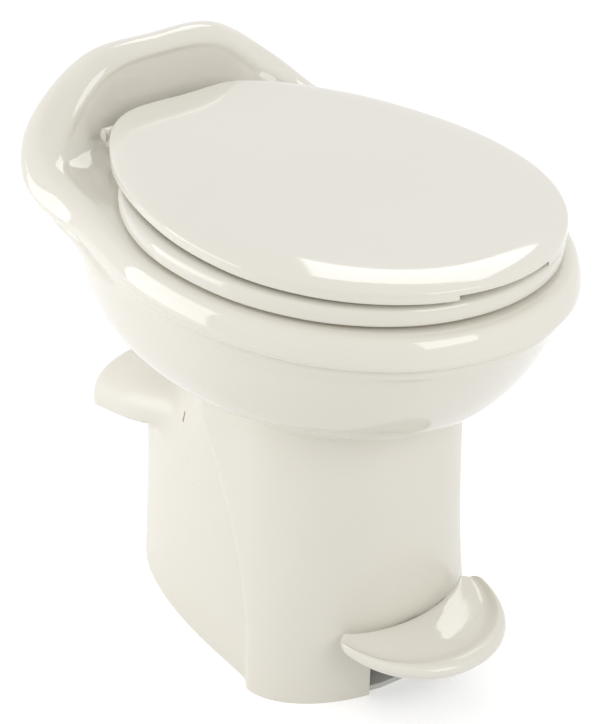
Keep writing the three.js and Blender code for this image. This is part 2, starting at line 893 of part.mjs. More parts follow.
// One section of the rear hood: flat underside, upright sides, broad round shoulders
function podRing(along, inset, y) {
  const half = mix(podFrontHalf, podRearHalf, Math.min(1, along * 1.6)) - inset;
  const top = mix(podFrontTopZ, podRearTopZ, along ** 0.8) - inset;
  const bottom = mix(podFrontBottomZ, podRearBottomZ, along ** 0.75) + inset;
  const arcSteps = 12;
  const upper = Array.from({ length: arcSteps + 1 }, (_, i) => {
    const angle = (Math.PI * i) / arcSteps;
    const c = Math.cos(angle);
    const s = Math.sin(angle);
    const x = half * Math.sign(c) * Math.abs(c) ** (2 / 3.4);
    return new THREE.Vector3(x, y, mix(bottom + podEdgeRadius / 2, top, Math.abs(s) ** (2 / 2.6)));
  });
  const lowerShares = [-0.965, -0.6, -0.2, 0.2, 0.6, 0.965];
  return [...upper, ...lowerShares.map((share) => new THREE.Vector3(half * share, y, bottom))];
}

function podSkin(inset) {
  const alongShares = [0, 0.3, 0.6, 0.85];
  const rings = alongShares.map((share) => podRing(share, inset, mix(podFrontY, podRearY, share)));
  const roundShares = [0, 0.7, 1];
  for (const share of roundShares) {
    const y = podRearY - inset - podEdgeRadius * (1 - share);
    const shrink = podEdgeRadius * (1 - Math.sqrt(1 - share * share * 0.999));
    rings.push(podRing(1, inset + shrink, y));
  }
  return skin(rings, false);
}

// Moulded pedestal: thin shell, ledge for the bowl, rear hood, pedal cut-out, service opening
function pedestal() {
  const outer = solid(columnSkin(0, 0, pedestalTopZ)).add(solid(podSkin(0)));
  const inside = solid(columnSkin(pedestalWall, -cutOverrun / 2, pedestalTopZ - ledgeThickness))
    .add(solid(podSkin(pedestalWall)));
  const ledgeHole = skin([
    footRing(pedestalWall + ledgeWidth, pedestalTopZ - ledgeThickness - cutOverrun),
    footRing(pedestalWall + ledgeWidth, pedestalTopZ + cutOverrun),
  ], false);
  const pedalCut = box(
    [-cutOutHalf, floorFrontY - cutOverrun, -cutOverrun],
    [cutOutHalf, floorFrontY + cutOutDepth, cutOutTopZ],
  );
  const serviceCut = box(
    [-serviceHalf, tailRearY - serviceDepth, serviceBottomZ],
    [serviceHalf, tailRearY + cutOverrun, serviceTopZ],
  );
  const slots = [-1, 1].map((side) => box(
    [side * columnHalf - markSlotDepth / 2, markSlotY - markSlotWidth / 2, markSlotZ - markSlotLength / 2],
    [side * columnHalf + markSlotDepth / 2, markSlotY + markSlotWidth / 2, markSlotZ + markSlotLength / 2],
  ));
  const boltHoles = bowlBoltPlaces().map(([x, y]) => (
    bar(boltRadius + fitGap, ledgeThickness + cutOverrun * 2, "z",
      [x, y, pedestalTopZ - ledgeThickness - cutOverrun], smallSides)
  ));
  const shell = outer.subtract(inside);
  return node("pedestal", cutFrom(shell, [ledgeHole, pedalCut, serviceCut, ...slots, ...boltHoles]), mouldedLook);
}

function bowlBolts() {
  const headZ = pedestalTopZ - ledgeThickness - fitGap - boltHeadHeight;
  const length = footBottomZ + boltEngagement - looseGap - headZ;
  return bowlBoltPlaces().map(([x, y], i) => node(`bowl_bolt_${i + 1}`, joined([
    bar(boltRadius, length, "z", [x, y, headZ], smallSides),
    hexBar(boltHeadAcross, boltHeadHeight, "z", [x, y, headZ]),
  ]), steelLook, [x, y, headZ]));
}

// Base plate with closet bolt slots, drain hole, shaft brackets and valve stand
function basePlate() {
  const inset = pedestalWall + fitGap;
  const plate = skin([pedestalRing(0, inset), pedestalRing(plateThickness, inset)], false);
  const brackets = [-1, 1].map((side) => plateAlongX(bracketOutline(), ...sideSpan(side, bracketX, bracketThickness)));
  const standTop = valveCentreZ - valveHalfHeight - fitGap;
  const stands = [valveFrontY, valveRearY - bracketThickness].map((y) => box(
    [rodCentreX - valveHalf, y, plateThickness - fitGap],
    [rodCentreX + valveHalf, y + bracketThickness, standTop],
  ));
  const body = joined([plate, ...brackets, ...stands]);
  const drainHole = bar(floorSealOuter + fitGap, plateThickness + cutOverrun * 2, "z",
    [0, outletCentreY, -cutOverrun]);
  const slots = [-1, 1].map((side) => {
    const x = (side * closetSpacing) / 2;
    const half = closetBoltRadius + looseGap;
    return box([x - half, outletCentreY - closetSlotHalf, -cutOverrun],
      [x + half, outletCentreY + closetSlotHalf, plateThickness + cutOverrun]);
  });
  const bore = bar(bushOuter + fitGap, bracketX * 3, "x", [-bracketX * 1.5, shaftY, shaftZ]);
  return node("base_plate", cutFrom(body, [drainHole, ...slots, bore]), darkPlasticLook);
}

function sideSpan(side, middle, width) {
  return [side * middle - width / 2, side * middle + width / 2];
}

function bracketOutline() {
  const foot = plateThickness - fitGap;
  return [
    [shaftY - bracketHalf, foot],
    [shaftY + bracketHalf, foot],
    [shaftY + bushFlange, bracketTopZ],
    [shaftY - bushFlange, bracketTopZ],
  ];
}

function floorSeal() {
  const inner = hornInner + hornWall + fitGap;
  return node("floor_seal", flatRing(inner, floorSealOuter, 0, plateThickness)
    .translate(0, outletCentreY, 0), rubberLook);
}

// Drain horn from the flush valve neck down through the floor seal
function drainHorn() {
  const outer = hornInner + hornWall;
  const footRadius = outer + hornWall;
  const seat = plateThickness + fitGap;
  return node("drain_horn", turned([
    [hornInner, hornFootZ],
    [outer, hornFootZ],
    [outer, seat],
    [footRadius, seat],
    [footRadius, seat + hornWall],
    [outer, seat + hornWall * 2],
    [outer, hornTopZ],
    [hornInner, hornTopZ],
    [hornInner, hornFootZ],
  ]).translate(0, outletCentreY, 0), greyPlasticLook, [0, outletCentreY, 0]);
}

function closetBolts() {
  return bothSides.map(([word, side]) => {
    const place = [(side * closetSpacing) / 2, outletCentreY, 0];
    return node(`closet_bolt_${word}`, bar(closetBoltRadius, closetBoltTopZ, "z", place, smallSides), steelLook, place);
  });
}

function closetNuts() {
  return bothSides.map(([word, side]) => {
    const place = [(side * closetSpacing) / 2, outletCentreY, plateThickness + fitGap];
    const body = joined([
      bar(washerRadius, washerThickness, "z", place, smallSides),
      hexBar(closetNutAcross, closetNutHeight + washerThickness, "z", place),
    ]);
    const thread = bar(closetBoltRadius + fitGap, closetBoltTopZ, "z", [place[0], place[1], 0], smallSides);
    return node(`closet_nut_${word}`, cutFrom(body, [thread]), steelLook, place);
  });
}

// Lower half of the flush valve: bed of the blade, slot for the quadrant, drain neck
function lowerHousing() {
  const topZ = upperHousingBottomZ - fitGap;
  const body = box([housingLowX, housingFrontY, housingBottomZ], [housingHighX, housingRearY, topZ]);
  const neckTop = housingBottomZ + footChamfer;
  const neckBottom = housingBottomZ - neckLength;
  const neck = bar(outletRadius + neckWall, neckTop - neckBottom, "z", [0, outletCentreY, neckBottom]);
  const waste = bar(outletRadius, topZ - neckBottom + cutOverrun * 2, "z",
    [0, outletCentreY, neckBottom - cutOverrun]);
  const bladeBed = box(
    [-bladeHalf - slideGap, sweptFrontY - slideGap, bladeBedZ],
    [bladeHalf + slideGap, bladeRearY + slideGap, topZ + cutOverrun],
  );
  const earBed = box(
    [bladeHalf - sealWidth - slideGap, housingFrontY - cutOverrun, bladeBedZ],
    [gearHighX + slideGap, rackRearY + slideGap * 2, topZ + cutOverrun],
  );
  const gearSlot = box(
    [gearLowX - slideGap, housingFrontY - cutOverrun, housingBottomZ - cutOverrun],
    [gearHighX + slideGap, rackRearY + looseGap * 2, topZ + cutOverrun],
  );
  const bolts = housingBoltPlaces().map(([x, y]) => (
    bar(screwRadius + fitGap, topZ - housingBottomZ + cutOverrun * 2, "z",
      [x, y, housingBottomZ - cutOverrun], smallSides)
  ));
  return node("valve_lower_housing", cutFrom(joined([body, neck]), [waste, bladeBed, earBed, gearSlot, ...bolts]),
    greyPlasticLook);
}

// Upper half of the flush valve with a seat for a seal on each face
function upperHousing() {
  const body = box(
    [housingLowX, housingFrontY, upperHousingBottomZ],
    [housingHighX, housingRearY, upperHousingTopZ],
  );
  const waste = bar(outletRadius, upperHousingThickness + cutOverrun * 2, "z",
    [0, outletCentreY, upperHousingBottomZ - cutOverrun]);
  const seatDepth = sealHeight + fitGap;
  const seats = [upperHousingBottomZ - cutOverrun, upperHousingTopZ - seatDepth].map((z) => (
    flatRing(sealInner - fitGap, sealOuter + fitGap, z, z + seatDepth + cutOverrun)
      .translate(0, outletCentreY, 0)
  ));
  const bolts = housingBoltPlaces().map(([x, y]) => (
    bar(screwRadius + fitGap, upperHousingThickness + cutOverrun * 2, "z",
      [x, y, upperHousingBottomZ - cutOverrun], smallSides)
  ));
  return node("valve_upper_housing", cutFrom(solid(body), [waste, ...seats, ...bolts]), greyPlasticLook);
}

function ringSeal(name, bottomZ) {
  return node(name, flatRing(sealInner, sealOuter, bottomZ, bottomZ + sealHeight)
    .translate(0, outletCentreY, 0), rubberLook);
}

function housingBolts() {
  const headZ = housingBottomZ - fitGap - screwHeadHeight;
  const length = outletFaceZ + boltEngagement - looseGap - headZ;
  return housingBoltPlaces().map(([x, y], i) => node(`housing_bolt_${i + 1}`, joined([
    bar(screwRadius, length, "z", [x, y, headZ], smallSides),
    bar(screwHeadRadius, screwHeadHeight, "z", [x, y, headZ], smallSides),
  ]), steelLook, [x, y, headZ]));
}

// Rack teeth under the side of the blade, drawn as one comb
function rackOutline() {
  const rootZ = rackPitchZ + gearModule * 1.25;
  const tipZ = rackPitchZ - gearModule;
  const halfPitch = toothPitch / 4 - toothThinning / 2;
  const halfTip = halfPitch - gearModule * Math.tan(pressureAngle);
  const halfRoot = halfPitch + (rootZ - rackPitchZ) * Math.tan(pressureAngle);
  const first = Math.ceil((rackFrontY - shaftY + halfRoot) / toothPitch - 0.5);
  const last = Math.floor((rackRearY - shaftY - halfRoot) / toothPitch - 0.5);
  const comb = [[rackFrontY, bladeBottomZ + bladeThickness / 2], [rackFrontY, rootZ]];
  for (let k = first; k <= last; k += 1) {
    const y = shaftY + (k + 0.5) * toothPitch;
    comb.push([y - halfRoot, rootZ], [y - halfTip, tipZ], [y + halfTip, tipZ], [y + halfRoot, rootZ]);
  }
  comb.push([rackRearY, rootZ], [rackRearY, bladeBottomZ + bladeThickness / 2]);
  return comb;
}

function flushBlade() {
  const plate = box([-bladeHalf, bladeFrontY, bladeBottomZ], [bladeHalf, bladeRearY, bladeTopZ]);
  const ear = box([bladeHalf - sealWidth, rackFrontY, bladeBottomZ], [gearHighX, rackRearY, bladeTopZ]);
  const comb = plateAlongX(rackOutline(), gearLowX, gearHighX);
  return node("flush_blade", joined([plate, ear, comb]), whitePlasticLook, [0, outletCentreY, bladeBottomZ]);
}

// Involute flank: half the tooth angle at a radius
function toothHalfAngle(radius) {
  const involute = (angle) => Math.tan(angle) - angle;
  const atRadius = radius > baseRadius ? Math.acos(baseRadius / radius) : 0;
  const atPitch = Math.PI / (2 * quadrantTeeth) - toothThinning / (2 * pitchRadius);
  return atPitch + involute(pressureAngle) - involute(atRadius);
}

// Place on the quadrant: distance from the shaft and angle behind the upright
function polar(radius, angle) {
  return [shaftY + radius * Math.sin(angle), shaftZ + radius * Math.cos(angle)];
}

// Toothed sector. One tooth stands upright over the shaft when the pedal is at rest
function quadrantOutline() {
  const pitchAngle = (2 * Math.PI) / quadrantTeeth;
  const first = -1;
  const last = Math.ceil(pedalTravel / pitchAngle) + 1;
  const outline = [];
  const flankShares = [0, 0.45, 1];
  for (let k = first; k <= last; k += 1) {
    const radii = flankShares.map((share) => mix(rootRadius, tipRadius, share));
    outline.push(...radii.map((r) => polar(r, k * pitchAngle - toothHalfAngle(r))));
    outline.push(...radii.reverse().map((r) => polar(r, k * pitchAngle + toothHalfAngle(r))));
  }
  const lastAngle = last * pitchAngle + toothHalfAngle(rootRadius);
  const firstAngle = first * pitchAngle - toothHalfAngle(rootRadius);
  const rimInner = rootRadius - quadrantRim;
  outline.push(polar(rimInner, lastAngle), [shaftY + spokeHalf, shaftZ], [shaftY - spokeHalf, shaftZ]);
  outline.push(polar(rimInner, firstAngle));
  return outline;
}

// Window that leaves two spokes between the hub and the rim of the quadrant
function quadrantWindow() {
  const pitchAngle = (2 * Math.PI) / quadrantTeeth;
  const first = -pitchAngle;
  const last = pedalTravel + pitchAngle * 1.5;
  const outerShare = 0.92;
  const innerShare = 0.5;
  const edge = (radius, angle, side) => {
    const [y, z] = polar(radius, angle);
    return [y + side * spokeHalf, z];
  };
  return [
    edge(rootRadius * outerShare, first, 1),
    edge(rootRadius * innerShare, first, 1),
    edge(rootRadius * innerShare, last, -1),
    edge(rootRadius * outerShare, last, -1),
  ];
}

// Angle of the crank at rest, so that its sweep is even about the upright
function crankRestAngle() {
  return pedalTravel / 2;
}

function crankOutline() {
  const rest = crankRestAngle();
  const [y, z] = polar(rodCrank + pegRadius * 1.6, rest);
  return [
    [shaftY - spokeHalf, shaftZ],
    [shaftY + spokeHalf, shaftZ],
    [y + pegRadius * 1.6, z],
    [y - pegRadius * 1.6, z],
  ];
}

// Side view of the lever arm from the hub to the pad under the pedal
function leverArmOutline() {
  const padBottom = leverPadTopZ - leverPadThickness;
  return [
    [shaftY, shaftZ - hubRadius * 0.8],
    [shaftY, shaftZ + hubRadius * 0.8],
    [leverPadRearY, leverPadTopZ],
    [leverPadFrontY, leverPadTopZ],
    [leverPadFrontY, padBottom],
    [leverPadRearY, padBottom - leverPadThickness],
    [mix(leverPadRearY, shaftY, 0.5), mix(padBottom, shaftZ, 0.9) - leverPadThickness],
  ];
}

// Lever: hub on the shaft, arm and pad for the pedal, toothed quadrant, crank with peg
function pedalLever() {
  const hub = bar(hubRadius, gearHighX - hubLeftX + fitGap, "x", [hubLeftX, shaftY, shaftZ]);
  const arm = plateAlongX(leverArmOutline(), -leverArmHalf, leverArmHalf);
  const sector = solid(plateAlongX(quadrantOutline(), gearLowX, gearHighX))
    .subtract(solid(plateAlongX(quadrantWindow(), gearLowX - cutOverrun, gearHighX + cutOverrun)));
  const crank = plateAlongX(crankOutline(), crankX - crankThickness / 2, crankX + crankThickness / 2);
  const [pegY, pegZ] = polar(rodCrank, crankRestAngle());
  const pegEndX = rodCentreX - rodPlateThickness;
  const peg = bar(pegRadius, crankX - pegEndX, "x", [pegEndX, pegY, pegZ]);
  const bore = bar(shaftRadius + fitGap, shaftReach * 2, "x", [-shaftReach, shaftY, shaftZ], runningSides);
  const holes = pedalScrewPlaces().map(([x, y]) => (
    bar(screwRadius + fitGap, leverPadThickness * 3, "z", [x, y, leverPadTopZ - leverPadThickness * 2], smallSides)
  ));
  const counterbores = pedalScrewPlaces().map(([x, y]) => (
    bar(screwHeadRadius + fitGap, leverPadThickness * 3, "z", [x, y, leverPadTopZ - leverPadThickness * 4], smallSides)
  ));
  const body = joined([hub, arm, crank, peg]).add(sector);
  return node("pedal_lever", cutFrom(body, [bore, ...counterbores, ...holes]), whitePlasticLook, [0, shaftY, shaftZ]);
}

function pedalScrewPlaces() {
  return [0.3, 0.8].map((share) => [0, mix(leverPadRearY, leverPadFrontY, share)]);
}

function pedalScrews() {
  const headZ = leverPadTopZ - leverPadThickness - fitGap - screwHeadHeight;
  const length = pedalBottomZ + boltEngagement / 2 - headZ;
  return pedalScrewPlaces().map(([x, y], i) => node(`pedal_screw_${i + 1}`, joined([
    bar(screwRadius, length, "z", [x, y, headZ], smallSides),
    bar(screwHeadRadius, screwHeadHeight, "z", [x, y, headZ], smallSides),
  ]), steelLook, [x, y, headZ]));
}

function pedalShaft() {
  return node("pedal_shaft", joined([
    bar(shaftRadius, shaftReach * 2, "x", [-shaftReach, shaftY, shaftZ], runningSides),
    bar(clipRadius, clipThickness * 2, "x", [-shaftReach, shaftY, shaftZ]),
  ]), steelLook, [0, shaftY, shaftZ]);
}

function shaftBush(name, side) {
  const innerX = bracketX - bracketThickness / 2 - fitGap - bushFlangeThickness;
  const outerX = bracketX + bracketThickness / 2;
  const sleeve = bar(bushOuter, outerX - innerX, "x", [innerX, shaftY, shaftZ]);
  const flange = bar(bushFlange, bushFlangeThickness, "x", [innerX, shaftY, shaftZ]);
  const bore = bar(shaftRadius + runningGap, bracketX * 2, "x", [0, shaftY, shaftZ], runningSides);
  const shape = cutFrom(joined([sleeve, flange]), [bore]);
  return node(name, side > 0 ? shape : shape.mirror([1, 0, 0]), whitePlasticLook, [side * bracketX, shaftY, shaftZ]);
}

// Retaining clip outside the right bracket
function shaftClip() {
  const innerX = bracketX + bracketThickness / 2 + looseGap;
  const shape = cutFrom(solid(bar(clipRadius, clipThickness, "x", [innerX, shaftY, shaftZ])), [
    bar(shaftRadius + fitGap, clipThickness + cutOverrun * 2, "x", [innerX - cutOverrun, shaftY, shaftZ]),
    box(
      [innerX - cutOverrun, shaftY - shaftRadius / 2, shaftZ],
      [innerX + clipThickness + cutOverrun, shaftY + shaftRadius / 2, shaftZ + clipRadius * 2],
    ),
  ]);
  return node("shaft_clip", shape, steelLook, [innerX, shaftY, shaftZ]);
}

// Height of the lever underside above the return spring
function springTopZ() {
  const outline = leverArmOutline();
  const near = outline[6];
  const far = outline[5];
  const share = (springY + springRadius - near[0]) / (far[0] - near[0]);
  return mix(near[1], far[1], Math.max(0, share)) - looseGap / 3;
}

function returnSpring() {
  const bottom = plateThickness + fitGap + springWire;
  const top = springTopZ() - springWire;
  const steps = springTurns * 6;
  const points = Array.from({ length: steps + 1 }, (_, i) => {
    const share = i / steps;
    const angle = 2 * Math.PI * springTurns * share;
    return [
      springRadius * Math.cos(angle),
      springY + springRadius * Math.sin(angle),
      mix(bottom, top, share),
    ];
  });
  return node("return_spring", hose(points, springWire, 0, steps, 5), steelLook, [0, springY, plateThickness]);
}

// Pull rod from the crank peg to the stem of the water valve
function pullRod() {
  const [, pegZ] = polar(rodCrank, crankRestAngle());
  const [pegY] = polar(rodCrank, crankRestAngle());
  const rodZ = valveCentreZ;
  const plateLow = rodCentreX - rodPlateThickness / 2;
  const plateHigh = rodCentreX + rodPlateThickness / 2;
  const slotHalf = pegRadius + slideGap / 2;
  const plate = box(
    [plateLow, pegY - rodPlateHalf, rodZ - rodPlateHalf - rodSlotRise],
    [plateHigh, pegY + rodPlateHalf, rodZ + rodPlateHalf + rodSlotRise / 2],
  );
  const slot = box(
    [plateLow - cutOverrun, pegY - slotHalf, pegZ - pegRadius - rodSlotRise / 2],
    [plateHigh + cutOverrun, pegY + slotHalf, pegZ + pegRadius + rodSlotRise / 2],
  );
  const startY = pegY + rodPlateHalf - fitGap;
  const round = bar(pullRodRadius, valveFrontY - bladeTravel / 4 - startY, "y", [rodCentreX, startY, rodZ]);
  return node("valve_pull_rod", cutFrom(joined([plate, round]), [slot]), steelLook, [rodCentreX, pegY, rodZ]);
}

function rodGuide() {
  const y = mix(shaftY, valveFrontY, 0.55);
  const half = bracketThickness / 2;
  const post = plateAlongX([
    [y - half * 2, plateThickness + fitGap],
    [y + half * 2, plateThickness + fitGap],
    [y + half, valveCentreZ + pullRodRadius + half * 2],
    [y - half, valveCentreZ + pullRodRadius + half * 2],
  ], rodCentreX - half * 2, rodCentreX + half * 2);
  const bore = bar(pullRodRadius + runningGap, bracketThickness * 4, "y",
    [rodCentreX, y - bracketThickness * 2, valveCentreZ]);
  return node("rod_guide", cutFrom(solid(post), [bore]), whitePlasticLook, [rodCentreX, y, plateThickness]);
}

// Stem of the water valve, screwed onto the pull rod
function valveStem() {
  const rodTravel = rodCrank * pedalTravel;
  const rodEnd = valveFrontY - bladeTravel / 4;
  const start = rodEnd - stemRadius * 2;
  const end = valveFrontY + rodTravel + stemRadius * 2 + looseGap;
  const body = joined([
    bar(stemRadius, end - start, "y", [rodCentreX, start, valveCentreZ]),
    bar(stemRadius + looseGap * 2, stemRadius, "y", [rodCentreX, end - stemRadius, valveCentreZ]),
  ]);
  const socket = bar(pullRodRadius + fitGap, stemRadius * 2 + fitGap + cutOverrun, "y",
    [rodCentreX, start - cutOverrun, valveCentreZ]);
  return node("valve_stem", cutFrom(body, [socket]), brassLook, [rodCentreX, start, valveCentreZ]);
}

// Body of the water valve: chamber for the stem, inlet at the rear, outlet on top
function waterValveBody() {
  const block = box(
    [rodCentreX - valveHalf, valveFrontY, valveCentreZ - valveHalfHeight],
    [rodCentreX + valveHalf, valveRearY, valveCentreZ + valveHalfHeight],
  );
  const outletY = mix(valveFrontY, valveRearY, 0.45);
  const topZ = valveCentreZ + valveHalfHeight;
  const barb = bar(barbRadius, barbLength + footChamfer, "z", [rodCentreX, outletY, topZ - footChamfer]);
  const guide = bar(stemRadius + runningGap, valveRearY - valveFrontY, "y",
    [rodCentreX, valveFrontY - cutOverrun, valveCentreZ]);
  const chamber = bar(stemRadius + looseGap * 3, valveRearY - valveFrontY - valveHalf * 0.8, "y",
    [rodCentreX, valveFrontY + valveHalf * 0.4, valveCentreZ]);
  const inlet = bar(inletOuter + fitGap, valveHalf, "y", [rodCentreX, valveRearY - valveHalf * 0.5, valveCentreZ]);
  const outlet = bar(barbBore, barbLength + valveHalfHeight + cutOverrun, "z",
    [rodCentreX, outletY, valveCentreZ]);
  return node("water_valve_body", cutFrom(joined([block, barb]), [guide, chamber, inlet, outlet]),
    whitePlasticLook, [rodCentreX, valveFrontY, valveCentreZ]);
}

function inletTail() {
  const startY = valveRearY - valveHalf * 0.5 + fitGap;
  const body = joined([
    bar(inletOuter, inletEndY - startY, "y", [rodCentreX, startY, valveCentreZ], runningSides),
    bar(collarRadius, collarLength, "y", [rodCentreX, inletEndY - collarLength, valveCentreZ]),
  ]);
  const bore = bar(inletBore, inletEndY - startY + cutOverrun * 2, "y",
    [rodCentreX, startY - cutOverrun, valveCentreZ]);
  return node("inlet_tail", cutFrom(body, [bore]), brassLook, [rodCentreX, startY, valveCentreZ]);
}

// Swivel nut held by the collar of the inlet tail
function inletNut() {
  const backY = inletEndY - collarLength - looseGap / 3 - nutWall;
  const body = solid(hexBar(nutAcross, nutLength, "y", [rodCentreX, backY, valveCentreZ]));
  const neckStart = [rodCentreX, backY - nutLength / 2, valveCentreZ];
  const neck = bar(inletOuter + runningGap, nutLength * 2, "y", neckStart, runningSides);
  const cavity = bar(collarRadius + slideGap, nutLength, "y", [rodCentreX, backY + nutWall, valveCentreZ]);
  return node("inlet_nut", cutFrom(body, [neck, cavity]), darkPlasticLook, [rodCentreX, inletEndY, valveCentreZ]);
}

// Vacuum breaker body with side barbs and a lug that reaches the hood
function breakerBody() {
  const shell = bar(breakerRadius, breakerTopZ - breakerBottomZ, "z", [breakerX, breakerY, breakerBottomZ]);
  const reach = breakerRadius + barbLength;
  const inlet = bar(barbRadius, reach, "x", [breakerX - reach, breakerY, breakerInletZ]);
  const outlet = bar(barbRadius, reach, "x", [breakerX, breakerY, breakerOutletZ]);
  const lugTop = breakerTopZ - fitGap * 2;
  const lug = box(
    [breakerX - breakerWall, breakerY + breakerRadius - breakerWall, lugTop - lugRise],
    [breakerX + breakerWall, podRearY - pedestalWall - fitGap, lugTop],
  );
  const chamberLow = breakerBottomZ + breakerWall;
  const chamber = bar(breakerRadius - breakerWall * 1.75, breakerTopZ - chamberLow, "z",
    [breakerX, breakerY, chamberLow]);
  const floatBore = bar(breakerRadius - breakerWall, breakerTopZ - floatZ + fitGap + cutOverrun, "z",
    [breakerX, breakerY, floatZ - fitGap]);
  const inletBoreBar = bar(barbBore, reach + cutOverrun, "x",
    [breakerX - reach - cutOverrun, breakerY, breakerInletZ]);
  const outletBoreBar = bar(barbBore, reach + cutOverrun, "x", [breakerX, breakerY, breakerOutletZ]);
  const shape = cutFrom(joined([shell, inlet, outlet, lug]),
    [chamber, floatBore, inletBoreBar, outletBoreBar]);
  return node("breaker_body", shape, whitePlasticLook, [breakerX, breakerY, breakerBottomZ]);
}

function breakerCap() {
  const seat = breakerTopZ + fitGap;
  const plugRadius = breakerRadius - breakerWall - fitGap;
  const plugDepth = seat - floatZ - floatThickness - floatLift - fitGap;
  const cap = joined([
    bar(breakerRadius, breakerCapHeight, "z", [breakerX, breakerY, seat]),
    bar(plugRadius, plugDepth + fitGap, "z", [breakerX, breakerY, seat - plugDepth]),
  ]);
  const vents = Array.from({ length: 6 }, (_, i) => {
    const angle = (Math.PI * i) / 3;
    const radius = plugRadius * 0.6;
    const place = [
      breakerX + radius * Math.cos(angle),
      breakerY + radius * Math.sin(angle),
      seat - plugDepth - cutOverrun,
    ];
    return bar(ventRadius, plugDepth + breakerCapHeight + cutOverrun * 2, "z", place, 8);
  });
  return node("breaker_cap", cutFrom(cap, vents), darkPlasticLook, [breakerX, breakerY, seat]);
}

function breakerFloat() {
  const radius = breakerRadius - breakerWall - slideGap;
  return node("breaker_float", bar(radius, floatThickness, "z", [breakerX, breakerY, floatZ]), rubberLook,
    [breakerX, breakerY, floatZ]);
}

// Hose from the water valve to the vacuum breaker
function valveHosePoints() {
  const outletY = mix(valveFrontY, valveRearY, 0.45);
  const topZ = valveCentreZ + valveHalfHeight + fitGap;
  const endX = breakerX - breakerRadius - fitGap;
  const across = endX - rodCentreX;
  const rise = breakerInletZ - topZ;
  return [
    [rodCentreX, outletY, topZ],
    [rodCentreX, outletY, topZ + barbLength * 0.75],
    [rodCentreX, outletY, topZ + barbLength * 1.5],
    [rodCentreX + across * 0.08, mix(outletY, breakerY, 0.3), topZ + rise * 0.78],
    [rodCentreX + across * 0.25, mix(outletY, breakerY, 0.8), topZ + rise * 0.97],
    [endX - barbLength * 1.5, breakerY, breakerInletZ],
    [endX - barbLength * 0.75, breakerY, breakerInletZ],
    [endX, breakerY, breakerInletZ],
  ];
}

// Hose from the vacuum breaker up through the foot of the bowl to the rim spud
function bowlHosePoints() {
  const startX = breakerX + breakerRadius + fitGap;
  const endY = spudThreadEndY + fitGap;
  const passX = columnHalf * 0.28;
  const passY = mix(outletCentreY + flangeRadius, footRearY - footWidth, 0.38);
  const turnX = startX + barbLength * 2.5;
  return [
    [startX, breakerY, breakerOutletZ],
    [startX + barbLength * 0.75, breakerY, breakerOutletZ],
    [startX + barbLength * 1.5, breakerY, breakerOutletZ],
    [turnX, mix(breakerY, passY, 0.12), mix(breakerOutletZ, footBottomZ, 0.06)],
    [mix(turnX, passX, 0.3), mix(breakerY, passY, 0.58), mix(breakerOutletZ, footBottomZ, 0.33)],
    [mix(turnX, passX, 0.85), mix(breakerY, passY, 0.95), mix(breakerOutletZ, footBottomZ, 0.68)],
    [passX, passY, footBottomZ],
    [passX, passY + hoseOuter * 0.3, footBottomZ + footHeight * 1.5],
    [passX * 0.95, passY + hoseOuter * 4, mix(footBottomZ, spudZ, 0.35)],
    [passX * 0.7, endY + barbLength * 2.4, mix(footBottomZ, spudZ, 0.66)],
    [passX * 0.25, endY + barbLength * 3.2, mix(footBottomZ, spudZ, 0.9)],
    [0, endY + barbLength * 1.7, spudZ],
    [0, endY + barbLength * 0.8, spudZ],
    [0, endY, spudZ],
  ];
}

// Spud with a spray head inside the basin and a barb for the hose
function rimSpud() {
  const headY = basinRearY - ceramicWall + fitGap;
  const body = joined([
    bar(spudHeadRadius, spudHeadThickness, "y", [0, headY, spudZ]),
    bar(spudRadius, spudThreadEndY - headY, "y", [0, headY, spudZ]),
    bar(barbRadius, barbLength + footChamfer, "y", [0, spudThreadEndY - footChamfer, spudZ]),
  ]);
  const bore = bar(barbBore, spudThreadEndY + barbLength - headY, "y", [0, headY + looseGap, spudZ]);
  const fan = box(
    [-spudHeadRadius, headY - cutOverrun, spudZ - barbBore / 2],
    [spudHeadRadius, headY + spudHeadThickness / 2, spudZ + barbBore / 4],
  );
  return node("rim_spud", cutFrom(body, [bore, fan]), whitePlasticLook, [0, spudThreadEndY, spudZ]);
}

function spudNut() {
  const wallY = basinRearY + ceramicWall + fitGap;
  const start = [0, wallY, spudZ];
  const body = solid(hexBar(spudRadius * 2.9, spudThreadEndY - wallY - fitGap, "y", start));
  const bore = bar(spudRadius + fitGap, spudThreadEndY, "y", [0, wallY - cutOverrun, spudZ]);
  return node("spud_nut", cutFrom(body, [bore]), darkPlasticLook, [0, wallY, spudZ]);
}

// Crescent pedal: section swept round the column, deep in the middle, fading to two horns
function pedalRing(turnShare) {
  const angle = turnShare * Math.PI;
  const c = Math.cos(angle);
  const s = Math.sin(angle);
  const outerPower = 2 / 2.15;
  const outerY = pedalHornY - (pedalHornY - pedalTipY) * s ** outerPower;
  const outerX = pedalHalf * Math.sign(c) * Math.abs(c) ** outerPower;
  const flare = flareAt(pedalRimZ);
  const faceHalf = mix(columnHalf, floorHalf, flare);
  const faceCentre = mix(columnCentreY, floorCentreY, flare);
  const faceFront = mix(columnFrontY, floorFrontY, flare) - pedalInnerGap;
  const innerX = (pedalHalf - podEdgeRadius) * c;
  const bend = Math.sqrt(1 - (innerX / (faceHalf + pedalInnerGap)) ** 2);
  const innerY = faceCentre - (faceCentre - faceFront) * bend;
  const reach = s ** 0.5;
  const rimDrop = 0.35 + 0.65 * reach;
  const sectionShares = [
    [0.02, 0.12], [0, 0.45], [0.02, 0.82], [0.07, 0.93], [0.15, 0.75], [0.4, 0.62],
    [0.66, 0.68], [0.82, 0.92], [0.9, 1], [0.97, 0.93], [1, 0.6], [0.96, 0.2], [0.88, 0.02],
    [0.6, 0], [0.3, 0],
  ];
  return sectionShares.map(([out, up]) => new THREE.Vector3(
    mix(innerX, outerX, out),
    mix(innerY, outerY, out),
    mix(pedalRimZ, mix(pedalBottomZ, pedalRimZ, up), rimDrop),
  ));
}

